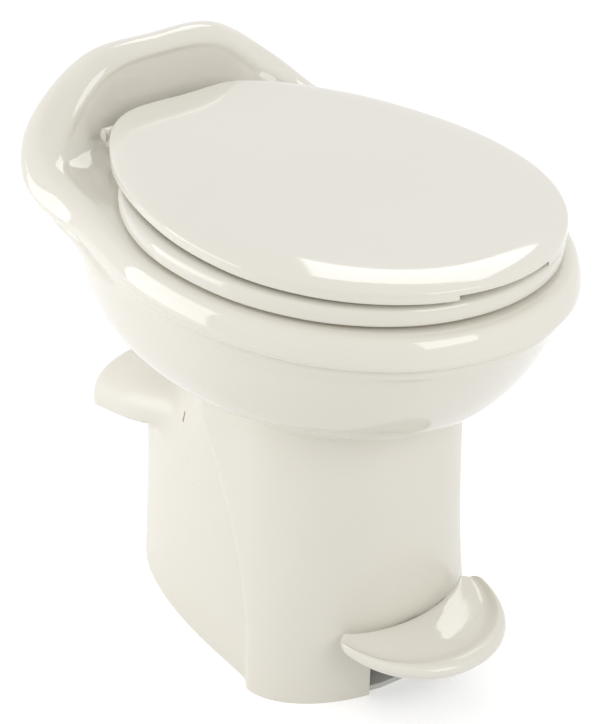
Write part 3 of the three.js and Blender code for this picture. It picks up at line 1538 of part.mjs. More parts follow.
function pedal() {
  const turns = 16;
  const edge = 0.012;
  const rings = Array.from({ length: turns + 1 }, (_, i) => pedalRing(mix(edge, 1 - edge, i / turns)));
  const screwHoles = pedalScrewPlaces().map(([x, y]) => (
    bar(screwRadius + fitGap, boltEngagement / 2 + looseGap + cutOverrun, "z",
      [x, y, pedalBottomZ - cutOverrun], smallSides)
  ));
  const padUnder = box(
    [-leverArmHalf - fitGap, leverPadFrontY - fitGap, leverPadTopZ - cutOverrun],
    [leverArmHalf + fitGap, pedalHornY, leverPadTopZ + fitGap],
  );
  const seat = box(
    [-leverArmHalf, leverPadFrontY, leverPadTopZ + fitGap],
    [leverArmHalf, columnFrontY - pedalInnerGap * 3, mix(pedalBottomZ, pedalPadZ, 0.4)],
  );
  const shape = solid(skin(rings, false)).add(solid(seat));
  return node("pedal", cutFrom(shape, [padUnder, ...screwHoles]), seatLook, [0, pedalHornY, pedalRimZ]);
}

function seatRing(outset, z, shareIn = 0) {
  return eggRing({
    half: mix(seatHalf, seatHoleHalf, shareIn) + outset,
    centreY: mix(seatCentreY, seatHoleCentreY, shareIn),
    frontY: mix(seatFrontY, seatHoleFrontY, shareIn) - outset,
    rearY: mix(seatRearY, seatHoleRearY, shareIn) + outset,
    z,
    frontPower: 2.06,
  });
}

// Seat ring: section from the outer lower edge over the crown to the opening
const seatSectionShares = [
  [0.02, 0], [0, 0.6], [0.04, 0.9], [0.24, 1], [0.6, 0.98], [0.87, 0.84], [1, 0.4], [0.95, 0.04],
];

function seat() {
  const rings = seatSectionShares.map(([inwards, up]) => seatRing(0, mix(seatBottomZ, seatTopZ, up), inwards));
  const ring = solid(skin(rings, true));
  const innerX = lugInnerX + lugWidth + hingeGap * 2 + postWidth;
  const ears = [-1, 1].map((side) => {
    const low = Math.min(side * innerX, side * (innerX + earWidth));
    const bottom = hingeZ - earBottomRise;
    return joined([
      bar(barrelRadius, earWidth, "x", [low, hingeY, hingeZ]),
      box([low, earFrontY, bottom], [low + earWidth, hingeY, seatTopZ - fitGap * 2]),
    ]);
  });
  const bore = bar(pinRadius + runningGap, halfWidth * 2, "x", [-halfWidth, hingeY, hingeZ], runningSides);
  return node("seat", cutFrom(ring.add(ears[0]).add(ears[1]), [bore]), seatLook, [0, hingeY, hingeZ]);
}

function pads(name, bottomZ, topZ, spots) {
  return spots.map(([x, y], i) => node(
    `${name}_${i + 1}`,
    bar(padRadius, topZ - bottomZ, "z", [x, y, bottomZ], smallSides),
    rubberLook,
    [x, y, bottomZ],
  ));
}

function seatBumpers() {
  const spots = [-1, 1].flatMap((side) => [padFrontY, padRearY].map((y) => [side * padX, y]));
  return pads("seat_bumper", rimZ + fitGap, seatBottomZ - fitGap, spots);
}

function lidBumpers() {
  const spots = [-1, 1].map((side) => [side * (padX - padRadius), padFrontY]);
  return pads("lid_bumper", seatTopZ + fitGap, lidTopZ - lidDish - lidShell - fitGap, spots);
}

// Lid outline: half ellipse in front, rear part of a longer ellipse cut off straight
function lidRing(inset, z, scale = 1) {
  const wide = (lidHalf - inset) * scale;
  const frontY = mix(lidCentreY, lidFrontY + inset, scale);
  const backY = mix(lidCentreY, lidBackY - inset, scale);
  const reach = (lidBackReach - inset) * scale;
  const sideShares = [0.3, 0.62, 0.86];
  const halfAt = (y) => wide * Math.sqrt(1 - ((y - lidCentreY) / reach) ** 2);
  const corner = halfAt(backY);
  const stations = sideShares.map((share) => {
    const y = mix(lidCentreY, backY, share);
    return [halfAt(y), y, z];
  });
  stations.push([corner * 0.93, backY, z], [0, backY, z]);
  const size = { half: wide, centreY: lidCentreY, frontY, z };
  return smoothRing([...frontControls(size), ...rearControls(stations)]);
}

// Lid shell: dished panel, rolled border, skirt with a finger notch, hinge lugs
function lid() {
  const under = lidTopZ - lidDish - lidShell;
  const rings = [
    lidRing(lidBorderInset, lidTopZ - lidDish, 0.5),
    lidRing(lidBorderInset, lidTopZ - lidDish),
    lidRing(lidBorderInset * 0.8, lidTopZ - lidDish * 0.4),
    lidRing(lidBorderInset * 0.45, lidTopZ),
    lidRing(lidBorderInset * 0.16, mix(lidTopZ, lidBottomZ, 0.16)),
    lidRing(0, mix(lidTopZ, lidBottomZ, 0.5)),
    lidRing(0, lidBottomZ),
    lidRing(lidShell, lidBottomZ),
    lidRing(lidShell * 1.2, under),
    lidRing(lidBorderInset, under),
    lidRing(lidBorderInset, under, 0.5),
  ];
  const notch = box(
    [-notchHalf, lidFrontY - cutOverrun, lidBottomZ - cutOverrun],
    [notchHalf, lidFrontY + notchDepth, lidBottomZ + notchRise],
  );
  const rearCut = box(
    [-lidHalf, hingeY - barrelRadius - looseGap * 2, lidBottomZ - cutOverrun],
    [lidHalf, lidBackY + cutOverrun, hingeZ + barrelRadius + looseGap],
  );
  const shell = cutFrom(solid(skin(rings, false)), [notch, rearCut]);
  const lugs = [-1, 1].map((side) => {
    const low = Math.min(side * lugInnerX, side * (lugInnerX + lugWidth));
    return joined([
      bar(barrelRadius, lugWidth, "x", [low, hingeY, hingeZ]),
      box([low, hingeY - barrelRadius, hingeZ], [low + lugWidth, hingeY + barrelRadius * 0.6, under + lidShell / 2]),
    ]);
  });
  const bore = bar(pinRadius + runningGap, halfWidth * 2, "x", [-halfWidth, hingeY, hingeZ], runningSides);
  return node("lid", cutFrom(shell.add(lugs[0]).add(lugs[1]), [bore]), seatLook, [0, hingeY, hingeZ]);
}

// Hinge post with its threaded stud through the deck
function hingePost(name, side) {
  const lowX = lugInnerX + lugWidth + hingeGap;
  const bottom = deckZ + fitGap;
  const middle = lowX + postWidth / 2;
  const stand = plateAlongX([
    [hingeY - postHalf, bottom],
    [hingeY + barrelRadius, bottom],
    [hingeY + barrelRadius, hingeZ],
    [hingeY - barrelRadius, hingeZ],
  ], lowX, lowX + postWidth);
  const barrel = bar(barrelRadius, postWidth, "x", [lowX, hingeY, hingeZ]);
  const stud = bar(studRadius, bottom - studEndZ + fitGap, "z", [middle, hingeY, studEndZ], smallSides);
  const bore = bar(pinRadius + fitGap, postWidth * 3, "x", [lowX - postWidth, hingeY, hingeZ]);
  const shape = cutFrom(joined([stand, barrel, stud]), [bore]);
  return node(name, side > 0 ? shape : shape.mirror([1, 0, 0]), whitePlasticLook, [side * middle, hingeY, bottom]);
}

function hingePin(name, side) {
  const startX = lugInnerX - fitGap;
  const endX = lugInnerX + lugWidth + hingeGap * 2 + postWidth + earWidth + fitGap;
  const shape = joined([
    bar(pinRadius, endX - startX + pinHeadLength, "x", [startX, hingeY, hingeZ], runningSides),
    bar(pinHeadRadius, pinHeadLength, "x", [endX, hingeY, hingeZ]),
  ]);
  return node(name, side > 0 ? shape : shape.mirror([1, 0, 0]), steelLook, [side * startX, hingeY, hingeZ]);
}

function hingeNuts() {
  return bothSides.map(([word, side]) => {
    const x = side * (lugInnerX + lugWidth + hingeGap + postWidth / 2);
    const start = [x, hingeY, studEndZ + looseGap];
    const body = joined([
      hexBar(hingeNutAcross, hingeNutHeight, "z", start),
      bar(hingeNutAcross * 0.75, hingeNutHeight / 3, "z", [x, hingeY, start[2] + hingeNutHeight]),
    ]);
    const thread = bar(studRadius + fitGap, hingeNutHeight * 4, "z", [x, hingeY, studEndZ - hingeNutHeight], smallSides);
    return node(`hinge_nut_${word}`, cutFrom(body, [thread]), steelLook, start);
  });
}

// Fixed parts, then one group for each part that moves as one
function toilet() {
  const object = new THREE.Group();
  object.add(bowl(), pedestal(), ...bowlBolts());
  object.add(basePlate(), floorSeal(), drainHorn(), ...closetBolts(), ...closetNuts());
  object.add(lowerHousing(), upperHousing(), ...housingBolts());
  object.add(ringSeal("blade_seal", upperHousingBottomZ));
  object.add(ringSeal("bowl_seal", upperHousingTopZ - sealHeight));
  object.add(shaftBush("shaft_bush_left", -1), shaftBush("shaft_bush_right", 1), returnSpring());
  object.add(rodGuide(), waterValveBody(), inletTail());
  object.add(breakerBody(), breakerCap());
  object.add(node("valve_hose", hose(valveHosePoints(), hoseOuter, hoseBore, 14), hoseLook));
  object.add(node("bowl_hose", hose(bowlHosePoints(), hoseOuter, hoseBore, 32), hoseLook));
  object.add(rimSpud(), spudNut());
  object.add(hingePost("hinge_post_left", -1), hingePost("hinge_post_right", 1));
  object.add(hingePin("hinge_pin_left", -1), hingePin("hinge_pin_right", 1), ...hingeNuts());
  const pedalParts = [pedal(), pedalLever(), ...pedalScrews(), pedalShaft(), shaftClip()];
  object.add(assembly([0, shaftY, shaftZ], pedalParts));
  object.add(assembly([0, outletCentreY, bladeBottomZ], [flushBlade()]));
  object.add(assembly([rodCentreX, shaftY, valveCentreZ], [pullRod(), valveStem()]));
  object.add(assembly([rodCentreX, inletEndY, valveCentreZ], [inletNut()]));
  object.add(assembly([breakerX, breakerY, floatZ], [breakerFloat()]));
  const hinge = [0, hingeY, hingeZ];
  object.add(assembly(hinge, [seat(), ...seatBumpers()]));
  object.add(assembly(hinge, [lid(), ...lidBumpers()]));
  return object;
}

export default toilet();
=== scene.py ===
"""Looks of a gravity-flush toilet for a motor home: glazed bowl with a raised back,
moulded pedestal, ring seat, lid and crescent pedal over the CAD frame from model.glb. Metres,
+Z up, the front faces -Y."""

import bpy
import numpy as np
from bpy.props import FloatProperty, FloatVectorProperty, IntProperty, PointerProperty
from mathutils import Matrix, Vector


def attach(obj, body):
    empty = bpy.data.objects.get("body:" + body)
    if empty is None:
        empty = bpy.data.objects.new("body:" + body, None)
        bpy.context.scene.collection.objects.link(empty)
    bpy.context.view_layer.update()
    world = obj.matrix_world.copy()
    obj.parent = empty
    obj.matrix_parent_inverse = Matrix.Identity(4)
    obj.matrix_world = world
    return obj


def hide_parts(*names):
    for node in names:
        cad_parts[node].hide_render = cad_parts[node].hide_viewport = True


bl_info = {
    "name": "Motor home toilet",
    "version": (1, 0, 0),
    "blender": (4, 5, 0),
    "location": "View3D > Sidebar > Toilet",
    "description": "Pieces, finishes and studio of a gravity-flush toilet",
    "category": "Add Mesh",
}

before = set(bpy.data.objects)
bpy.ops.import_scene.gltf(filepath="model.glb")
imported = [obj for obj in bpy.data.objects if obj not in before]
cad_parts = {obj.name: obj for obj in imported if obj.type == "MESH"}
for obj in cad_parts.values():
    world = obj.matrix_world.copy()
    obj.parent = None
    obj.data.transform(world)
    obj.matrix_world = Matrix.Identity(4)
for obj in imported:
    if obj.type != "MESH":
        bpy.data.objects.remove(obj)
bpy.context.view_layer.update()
MM = 0.001
# How far a cut reaches past the face that it opens
OVERRUN = 0.006
# Play of loose fits, and of close ones
LOOSE_GAP = 0.0015
CLOSE_GAP = 0.0003
# Radii of the holes for the bolts and for the small screws
BOLT_HOLE = 0.0033
SCREW_HOLE = 0.0028
# Angle from which an edge between two faces stays sharp
SHARP_ANGLE = 0.55


def length(name, description, default):
    """Length or place that a user may change, in metres."""
    return FloatProperty(name=name, description=description, default=default,
                         unit="LENGTH", subtype="DISTANCE", precision=5)


def colour(name, description, default):
    """Colour that a user may change, as linear red, green and blue."""
    return FloatVectorProperty(name=name, description=description, default=default,
                               subtype="COLOR", size=3, min=0.0, max=1.0)


class BowlSizes(bpy.types.PropertyGroup):
    """Sizes of the glazed bowl"""
    half_width: length("Half width", "Half of the overall width", 0.193)
    half_depth: length("Half depth", "Half of the bowl's depth", 0.265)
    crest: length("Crest height", "Top of the raised back", 0.531)
    rim: length("Rim height", "Flat top of the bowl", 0.4435)
    bulge: length("Bulge height", "Widest level of the band", 0.431)
    crease: length("Crease height", "Lower edge of the band", 0.412)
    foot: length("Foot height", "Where the bowl stands on the pedestal", 0.302)
    band_edge: length("Band edge", "How far over the crease the band starts to roll in", 0.005)
    deck_rise: length("Deck rise", "Height of the hinge deck over the rim", 0.0055)
    wall: length("Wall", "Thickness of the fired clay", 0.011)
    rim_thickness: length("Rim thickness", "Thickness of the rim", 0.013)
    foot_width: length("Foot width", "Width of the standing ring", 0.020)
    foot_height: length("Foot depth", "Height of the standing ring", 0.014)
    chamfer: length("Chamfer", "Small edge break", 0.003)
    outlet_y: length("Outlet place", "Middle of the outlet", 0.002)
    outlet_radius: length("Outlet radius", "Radius of the outlet", 0.024)
    outlet_face: length("Outlet face", "Height of the outlet flange", 0.232)
    flange_radius: length("Flange radius", "Radius of the outlet flange", 0.070)
    flange_thickness: length("Flange thickness", "Thickness of the outlet flange", 0.014)
    basin_half: length("Basin half width", "Half width of the basin at the rim", 0.118)
    basin_y: length("Basin middle", "Middle of the basin at the rim", -0.042)
    basin_front: length("Basin front", "Front of the basin", -0.200)
    basin_rear: length("Basin rear", "Rear of the basin", 0.098)
    spud_height: length("Spud height", "Height of the water inlet", 0.414)
    spud_hole: length("Spud hole", "Radius of the hole for the water inlet", 0.0083)
    hole_depth: length("Hole depth", "Depth of the blind holes for bolts and screws", 0.010)
    middle: length("Rim middle", "Middle of the rim's front curve", -0.00525)
    housing_left: length("Housing screws left", "Left pair of valve screws", -0.0435)
    housing_right: length("Housing screws right", "Right pair of valve screws", 0.05765)
    housing_front: length("Housing screws front", "Front pair of valve screws", -0.066)
    housing_rear: length("Housing screws rear", "Rear pair of valve screws", 0.028)


class PedestalSizes(bpy.types.PropertyGroup):
    """Sizes of the moulded pedestal"""
    top: length("Top", "Top of the pedestal", 0.3017)
    foot: length("Flare height", "Height over which the column flares to the floor", 0.250)
    half: length("Half width", "Half width of the column at the top", 0.110)
    centre_y: length("Column middle", "Middle of the column at the top", -0.044)
    front_y: length("Column front", "Front of the column at the top", -0.155)
    rear_y: length("Column rear", "Rear of the column at the top", 0.118)
    floor_half: length("Floor half width", "Half width at the floor", 0.131)
    floor_y: length("Floor middle", "Middle of the column at the floor", -0.066)
    floor_front: length("Floor front", "Front at the floor", -0.149)
    wall: length("Wall", "Thickness of the moulding", 0.0045)
    ledge_thickness: length("Ledge thickness", "Thickness of the top ledge", 0.0055)
    ledge_width: length("Ledge width", "Width of the top ledge", 0.016)
    ridge_foot_y: length("Ridge foot", "Place of the side ridge at the floor", -0.064)
    ridge_top_y: length("Ridge top", "Place of the side ridge at the top", 0.030)
    ridge_depth: length("Ridge depth", "How far the column stands proud of the tail", 0.0085)
    ridge_depth_top: length("Ridge depth at top", "The same at the top", 0.0045)
    ridge_run_top: length("Ridge run at top", "Width of the ridge's slope at the top", 0.003)
    ridge_run_foot: length("Ridge run at foot", "Width of the ridge's slope at the floor", 0.017)
    tail_y: length("Tail middle", "Middle of the tail's outline", -0.036)
    tail_rear: length("Tail rear", "Rear of the tail", 0.224)
    shoulder: length("Tail shoulder", "Height where the tail leans forward", 0.170)
    spare: length("Spare height", "How far the blank reaches past both cut ends", 0.012)
    blend: length("Blend cell", "Cell on which the hood is blended in", 0.0025)
    tail_top: length("Tail top", "Height where the tail reaches the column", 0.250)
    pod_rear: length("Hood rear", "Rear of the hood", 0.243)
    pod_front: length("Hood front", "Front of the hood", 0.060)
    pod_rear_half: length("Hood rear half width", "Half width at the rear", 0.101)
    pod_front_half: length("Hood front half width", "Half width at the front", 0.087)
    pod_rear_top: length("Hood rear top", "Top at the rear", 0.208)
    pod_front_top: length("Hood front top", "Top at the front", 0.250)
    pod_rear_bottom: length("Hood rear bottom", "Underside at the rear", 0.154)
    pod_front_bottom: length("Hood front bottom", "Underside at the front", 0.204)
    pod_edge: length("Hood edge radius", "Radius of the rear edge", 0.009)
    bolt_inset: length("Bolt inset", "From the top's outline to the bowl bolts", 0.0105)
    slot_half: length("Pedal slot half width", "Half width of the lever's slot", 0.044)
    slot_rear: length("Pedal slot rear", "How far back the slot reaches", -0.079)
    slot_top: length("Pedal slot top", "Top of the lever's slot", 0.074)
    service_half: length("Service half width", "Half width of the rear opening", 0.056)
    service_front: length("Service front", "How far the rear opening reaches in", 0.164)
    service_rear: length("Service rear", "Where its cut starts behind the tail", 0.230)
    service_bottom: length("Service bottom", "Bottom of the rear opening", 0.024)
    service_top: length("Service top", "Top of the rear opening", 0.146)
    mark_y: length("Side slot place", "Middle of the slot in the flank", 0.083)
    mark_z: length("Side slot height", "Middle of the slot in the flank", 0.216)
    mark_width: length("Side slot width", "Width of the slot in the flank", 0.0032)
    mark_length: length("Side slot length", "Length of the slot in the flank", 0.011)
    mark_depth: length("Side slot depth", "Reach of its cut to both sides", 0.020)


class SeatSizes(bpy.types.PropertyGroup):
    """Sizes of the seat, the lid and their hinges"""
    half: length("Seat half width", "Half width of the seat", 0.177)
    centre_y: length("Seat middle", "Middle of the seat's front curve", -0.028)
    front_y: length("Seat front", "Front of the seat", -0.247)
    rear_y: length("Seat rear", "Rear of the seat", 0.186)
    bottom: length("Seat bottom", "Underside of the seat", 0.447)
    top: length("Seat top", "Top of the seat", 0.4645)
    hole_half: length("Opening half width", "Half width of the opening", 0.106)
    hole_front: length("Opening front", "Front of the opening", -0.178)
    hole_rear: length("Opening rear", "Rear of the opening", 0.084)
    hole_y: length("Opening middle", "Middle of the opening", -0.038)
    lid_half: length("Lid half width", "Half width of the lid", 0.168)
    lid_y: length("Lid middle", "Middle of the lid's front curve", -0.049)
    lid_front: length("Lid front", "Front of the lid", -0.253)
    lid_reach: length("Lid reach", "Reach of the ellipse behind the middle", 0.280)
    lid_back: length("Lid back", "Straight rear edge", 0.207)
    lid_bottom: length("Lid bottom", "Lower edge of the skirt", 0.468)
    lid_top: length("Lid top", "Top of the panel", 0.4835)
    lid_shell: length("Lid shell", "Thickness of the panel", 0.005)
    lid_roll: length("Lid roll", "Fall of the rolled border", 0.0052)
    lid_border: length("Lid border", "Width of the rolled border", 0.032)
    notch_half: length("Notch half width", "Half width of the finger notch", 0.048)
    notch_depth: length("Notch depth", "Depth of the finger notch", 0.026)
    notch_rise: length("Notch rise", "Height of the finger notch", 0.005)
    hinge_y: length("Hinge place", "Hinge axis from the middle", 0.199)
    hinge_z: length("Hinge height", "Height of the hinge axis", 0.466)
    barrel: length("Barrel radius", "Radius of the hinge barrels", 0.007)
    pin: length("Pin bore", "Radius of the bore for the pin", 0.00328)
    lug_x: length("Lug place", "Inner face of the lid lug", 0.048)
    lug_width: length("Lug width", "Width of the lid lug", 0.013)
    post_width: length("Post width", "Width of the hinge post", 0.015)
    post_half: length("Post half depth", "Half depth of the hinge post's foot", 0.011)
    ear_width: length("Ear width", "Width of the seat ear", 0.014)
    gap: length("Hinge gap", "Side play between lug, post and ear", 0.0008)
    ear_front: length("Ear front", "Where the ear meets the seat", 0.146)
    ear_drop: length("Ear drop", "Underside of the ear below the hinge axis", 0.010)
    ear_step: length("Ear step", "Top of the ear below the top of the seat", 0.0006)
    lid_play: length("Lid play", "Room between the lid and the hinge barrels", 0.003)


class PedalSizes(bpy.types.PropertyGroup):
    """Sizes of the crescent pedal"""
    half: length("Half width", "Half width between the horns", 0.085)
    tip_y: length("Tip", "Front of the pedal", -0.239)
    horn_y: length("Horns", "Place of the two horns", -0.138)
    rim: length("Rim height", "Top of the raised edge", 0.086)
    bottom: length("Bottom", "Underside of the pedal", 0.066)
    gap: length("Gap", "Gap to the column", 0.0032)
    arm_half: length("Arm half width", "Half width of the lever pad under it", 0.016)
    arm_top: length("Arm top", "Top of the lever pad", 0.063)
    arm_front: length("Arm front", "Front of the lever pad", -0.190)
    arm_rear: length("Arm rear", "Rear of the lever pad", -0.136)
    pad: length("Pad height", "Top of the tread", 0.079)
    screw_depth: length("Screw depth", "Depth of the holes for the lever's screws", 0.0065)


class FinishColours(bpy.types.PropertyGroup):
    """Colours of the finishes"""
    glaze: colour("Glaze", "Bone-white vitreous glaze", (0.780, 0.752, 0.676))
    glaze_shade: colour("Glaze shade", "Slightly thicker glaze", (0.768, 0.738, 0.656))
    moulding: colour("Moulding", "Bone-white moulded plastic", (0.772, 0.742, 0.662))
    moulding_shade: colour("Moulding shade", "Slower cooled areas", (0.758, 0.728, 0.646))
    seat: colour("Seat", "Polished seat plastic", (0.768, 0.742, 0.668))
    seat_shade: colour("Seat shade", "Polished seat plastic, shaded", (0.756, 0.730, 0.652))
    white: colour("White plastic", "Plain white plastic", (0.66, 0.66, 0.63))
    grey: colour("Grey plastic", "Plain grey plastic", (0.30, 0.31, 0.31))
    dark: colour("Dark plastic", "Glass-filled dark plastic", (0.045, 0.048, 0.052))
    rubber: colour("Rubber", "Black rubber", (0.018, 0.018, 0.018))
    hose: colour("Hose", "Milky hose", (0.56, 0.59, 0.58))
    steel: colour("Steel", "Plated steel", (0.56, 0.57, 0.58))
    brass: colour("Brass", "Machined brass", (0.62, 0.43, 0.16))


class StudioSizes(bpy.types.PropertyGroup):
    """Camera and lights"""
    distance: length("Camera distance", "From the target", 1.8)
    lens: FloatProperty(name="Lens", description="Focal length in millimetres", default=92.73,
                        unit="CAMERA")
    heading: FloatProperty(name="Heading", description="Turn of the camera round the object",
                           default=-0.65595, subtype="ANGLE")
    lift: FloatProperty(name="Lift", description="Height angle of the camera", default=0.53243,
                        subtype="ANGLE")
    target: FloatVectorProperty(name="Target", description="Point in the middle of the picture",
                                default=(0.0227, 0.0509, 0.250), subtype="XYZ", size=3)
    floor: colour("Floor", "Pale floor", (0.80, 0.80, 0.80))
    floor_reach: length("Floor reach", "Half width of the floor", 4.0)
    floor_lift: FloatProperty(name="Floor lift", description="Light added for the camera",
                              default=0.36, min=0.0)
    sky: FloatProperty(name="Sky", description="Strength of the surroundings as a light",
                       default=0.75, min=0.0)
    fineness: IntProperty(name="Fineness", description="Points on each span of a ring",
                          default=12, min=2, max=24)


# Rise of the hinge deck over the rim, as a share of the height from rim to crest
DECK_SHARE = 5.5 / 87.5
# Rear stations of the rings of the raised back: flank, corner, shoulder, crown, middle,
# as shares of the half width, of the half depth, and of the height from rim to crest
CREST_SHARES = {
    "under_crest": [[0.901, 0.44, -0.325], [0.867, 0.806, -0.213], [0.668, 0.986, 0.033],
                   [0.376, 1, 0.615], [0, 1, 0.726]],
    "crease": [[0.916, 0.44, -0.248], [0.892, 0.806, -0.047], [0.742, 0.956, 0.31],
                   [0.396, 0.991, 0.862], [0, 1, 0.915]],
    "bulge": [[0.9, 0.44, -0.099], [0.822, 0.781, 0.107], [0.684, 0.921, 0.445],
                   [0.366, 0.956, 0.928], [0, 0.962, 0.974]],
    "crest_inner": [[0.86, 0.44, -0.033], [0.777, 0.761, 0.129], [0.623, 0.886, 0.43],
                   [0.351, 0.916, 0.902], [0, 0.922, 0.963]],
    "lip": [[0.81, 0.44, 0], [0.732, 0.741, 0.107], [0.583, 0.851, 0.353],
                   [0.331, 0.881, 0.77], [0, 0.886, 0.853]],
    "lip_inner": [[0.78, 0.44, 0], [0.697, 0.726, 0.052], [0.548, 0.846, 0.276],
                   [0.311, 0.884, 0.693], [0, 0.892, 0.77]],
    "wall_middle": [[0.735, 0.43, 0], [0.63, 0.703, 0], [0.524, 0.828, 0.176],
                   [0.308, 0.881, 0.386], [0, 0.889, 0.441]],
    "wall_foot": [[0.69, 0.42, 0], [0.57, 0.68, 0], [0.5, 0.79, DECK_SHARE],
                   [0.3, 0.84, DECK_SHARE], [0, 0.845, DECK_SHARE]],
    "deck_edge": [[0.62, 0.38, 0], [0.51, 0.6, 0], [0.42, 0.7, DECK_SHARE],
                   [0.22, 0.705, DECK_SHARE], [0, 0.705, DECK_SHARE]],
    "deck_foot": [[0.6, 0.36, 0], [0.49, 0.56, 0], [0.4, 0.67, 0],
                   [0.21, 0.68, 0], [0, 0.68, 0]],
    "hollow_wall": [[0.7, 0.44, -0.138], [0.6, 0.735, -0.132], [0.54, 0.85, -0.099],
                   [0.31, 0.885, -0.099], [0, 0.89, -0.099]],
    "hollow_front": [[0.775, 0.44, -0.154], [0.71, 0.765, -0.055], [0.583, 0.875, 0.165],
                   [0.321, 0.915, 0.607], [0, 0.92, 0.695]],
    "hollow_rear": [[0.82, 0.44, -0.199], [0.767, 0.79, -0.11], [0.623, 0.922, 0.165],
                   [0.341, 0.957, 0.607], [0, 0.962, 0.695]],
    "hollow_back": [[0.87, 0.44, -0.496], [0.8, 0.785, -0.397], [0.618, 0.93, -0.287],
                   [0.35, 0.97, -0.199], [0, 0.977, -0.143]],
}
# Front halves of the same rings: shares of the half width and of the half depth
CREST_FRONT_SHARES = {
    "under_crest": (0.974, 0.97), "crease": (1, 0.998), "bulge": (0.992, 0.991),
    "crest_inner": (0.962, 0.972), "lip": (0.927, 0.948), "lip_inner": (0.907, 0.932),
    "wall_middle": (0.87, 0.905), "wall_foot": (0.83, 0.875), "deck_edge": (0.725, 0.81),
    "deck_foot": (0.685, 0.785), "hollow_wall": (0.79, 0.872), "hollow_front": (0.86, 0.91),
    "hollow_rear": (0.912, 0.94), "hollow_back": (0.935, 0.952),
}
# Outer belly rows: height, half width, front reach, centre, rear reach, rise of the rear
BELLY_SHARES = [
    [0.05, 0.677, 0.708, -0.06, 0.48, 0],
    [0.16, 0.811, 0.772, -0.04, 0.56, 0],
    [0.3, 0.9, 0.82, -0.03, 0.655, 0],
    [0.48, 0.952, 0.868, -0.021, 0.765, 0.02],
    [0.69, 0.968, 0.915, -0.021, 0.87, 0.03],
    [0.88, 0.971, 0.955, -0.02, 0.94, 0.1],
]
# Basin rows: depth below the rim, then what the half width, the front and the rear keep
BASIN_SHARES = [
    [0.035, 0.985, 0.99, 0.985],
    [0.2, 0.95, 0.965, 0.94],
    [0.4, 0.82, 0.87, 0.77],
    [0.58, 0.52, 0.53, 0.45],
    [0.76, 0.3, 0.31, 0.26],
    [0.89, 0.09, 0.11, 0.08],
]
# Radius of the neck over the outlet flange, from the outlet's to the flange's
NECK_SHARE = 0.52
# Seat section from the outer lower edge over the crown to the opening: inwards, up
SEAT_SECTION_SHARES = [
    [0.03, 0], [0.008, 0.06], [0, 0.2], [0, 0.6], [0.02, 0.82], [0.09, 0.95], [0.28, 1],
    [0.6, 0.98], [0.85, 0.86], [0.97, 0.62], [1, 0.36], [0.97, 0.12], [0.92, 0.03],
]
# Pedal section from the column outwards over the edge and back underneath: out, up
PEDAL_SECTION_SHARES = [
    [0.02, 0.3], [0, 0.5], [0.015, 0.72], [0.05, 0.78], [0.16, 0.75], [0.36, 0.65],
    [0.56, 0.61], [0.7, 0.69], [0.8, 0.87], [0.87, 0.98], [0.93, 0.96], [0.985, 0.8],
    [1, 0.55], [0.96, 0.28], [0.84, 0.08], [0.6, 0], [0.3, 0.04],
]
# Rolled border of the lid: inwards as a share of the border, down as a share of the roll, and
# the share of that inset that the straight rear edge keeps
LID_BORDER_SHARES = [
    [1.05, 0, 0.2], [0.8, 0.06, 0.2], [0.52, 0.24, 0.2], [0.26, 0.52, 0.2], [0.07, 0.86, 0.4],
]
# Stations along the lid's side from its middle to the rear edge, and how much of its width
# the straight rear edge keeps
LID_SIDE_SHARES = (0.3, 0.62, 0.86, 0.96)
LID_CORNER_SHARE = 0.9
# Stations round the rear of an egg-shaped ring, as shares of a quarter turn
EGG_TURN_SHARES = (0.2, 0.4, 0.62, 0.82, 1)
# Control points of the foot ring beside which the bowl's bolts stand
BOLT_STATIONS = (2, 6, 11, 15)
# Places of the lever's screws along its pad, from the rear
SCREW_SHARES = (0.3, 0.8)

# Powers of the superellipses: 2 is an ellipse, and more fills the corners
RIM_POWER = 2.12
BELLY_POWERS = (2.06, 2.4)
FOOT_POWERS = (2.0, 2.35)
SEAT_POWER = 2.06
PEDAL_POWER = 2.15
# The same from the top of the pedestal to its floor, and from the shoulder to the top
COLUMN_POWERS = (2, 1.85)
TAIL_POWERS = (2.5, 2.35)
# The same across the hood and up it
HOOD_POWERS = (3.4, 2.6)
# Bends of the pedestal's lines over their length: 1 is straight
RIDGE_BEND = 1.6
TAIL_BEND = 1.2
HOOD_TOP_BEND = 0.8
HOOD_BOTTOM_BEND = 0.75
# The hood reaches its full width after its length over this number
HOOD_WIDENING = 1.6
# Share of the quarter round at the hood's rear edge that is kept before the flat end
HOOD_ROUND_SHARE = 0.98
# Where the first section of that round lies, of the edge radius before the rear end
HOOD_START_SHARE = 0.999
# Rounds of evening for the whole blank, and for the place where the hood runs into it
EVEN_ROUNDS = 6
BLEND_ROUNDS = 60
# What the pedal's outer and inner edges leave out at each end, as shares of half a turn
PEDAL_OUTER_SHARE = 0.025
PEDAL_INNER_SHARE = 0.1
# Share of its sweep over which an end rounds off, the least size of its section there, and
# the share of its depth that it keeps
PEDAL_ROUND_SHARE = 0.03
PEDAL_END_SHARE = 0.04
PEDAL_DEPTH_SHARE = 0.35

# Softboxes: place from the target in metres towards the camera, to its right and up, then
# size and strength
SOFTBOXES = {
    "top": ((-1.05, 0.26, 1.35), (0.7, 0.6), 2.6),
    "left": ((0.1, -1.7, 0.3), (1.1, 1.3), 2.5),
    "front": ((1.3, 0.9, 1.0), (0.9, 0.9), 2.9),
}


def mix(low, high, part):
    """Value at a part of the way from low to high."""
    return low + (high - low) * part


def fineness():
    return bpy.context.scene.toilet_studio.fineness


def half_fineness():
    """Points on each span between rings."""
    return max(2, fineness() // 2)


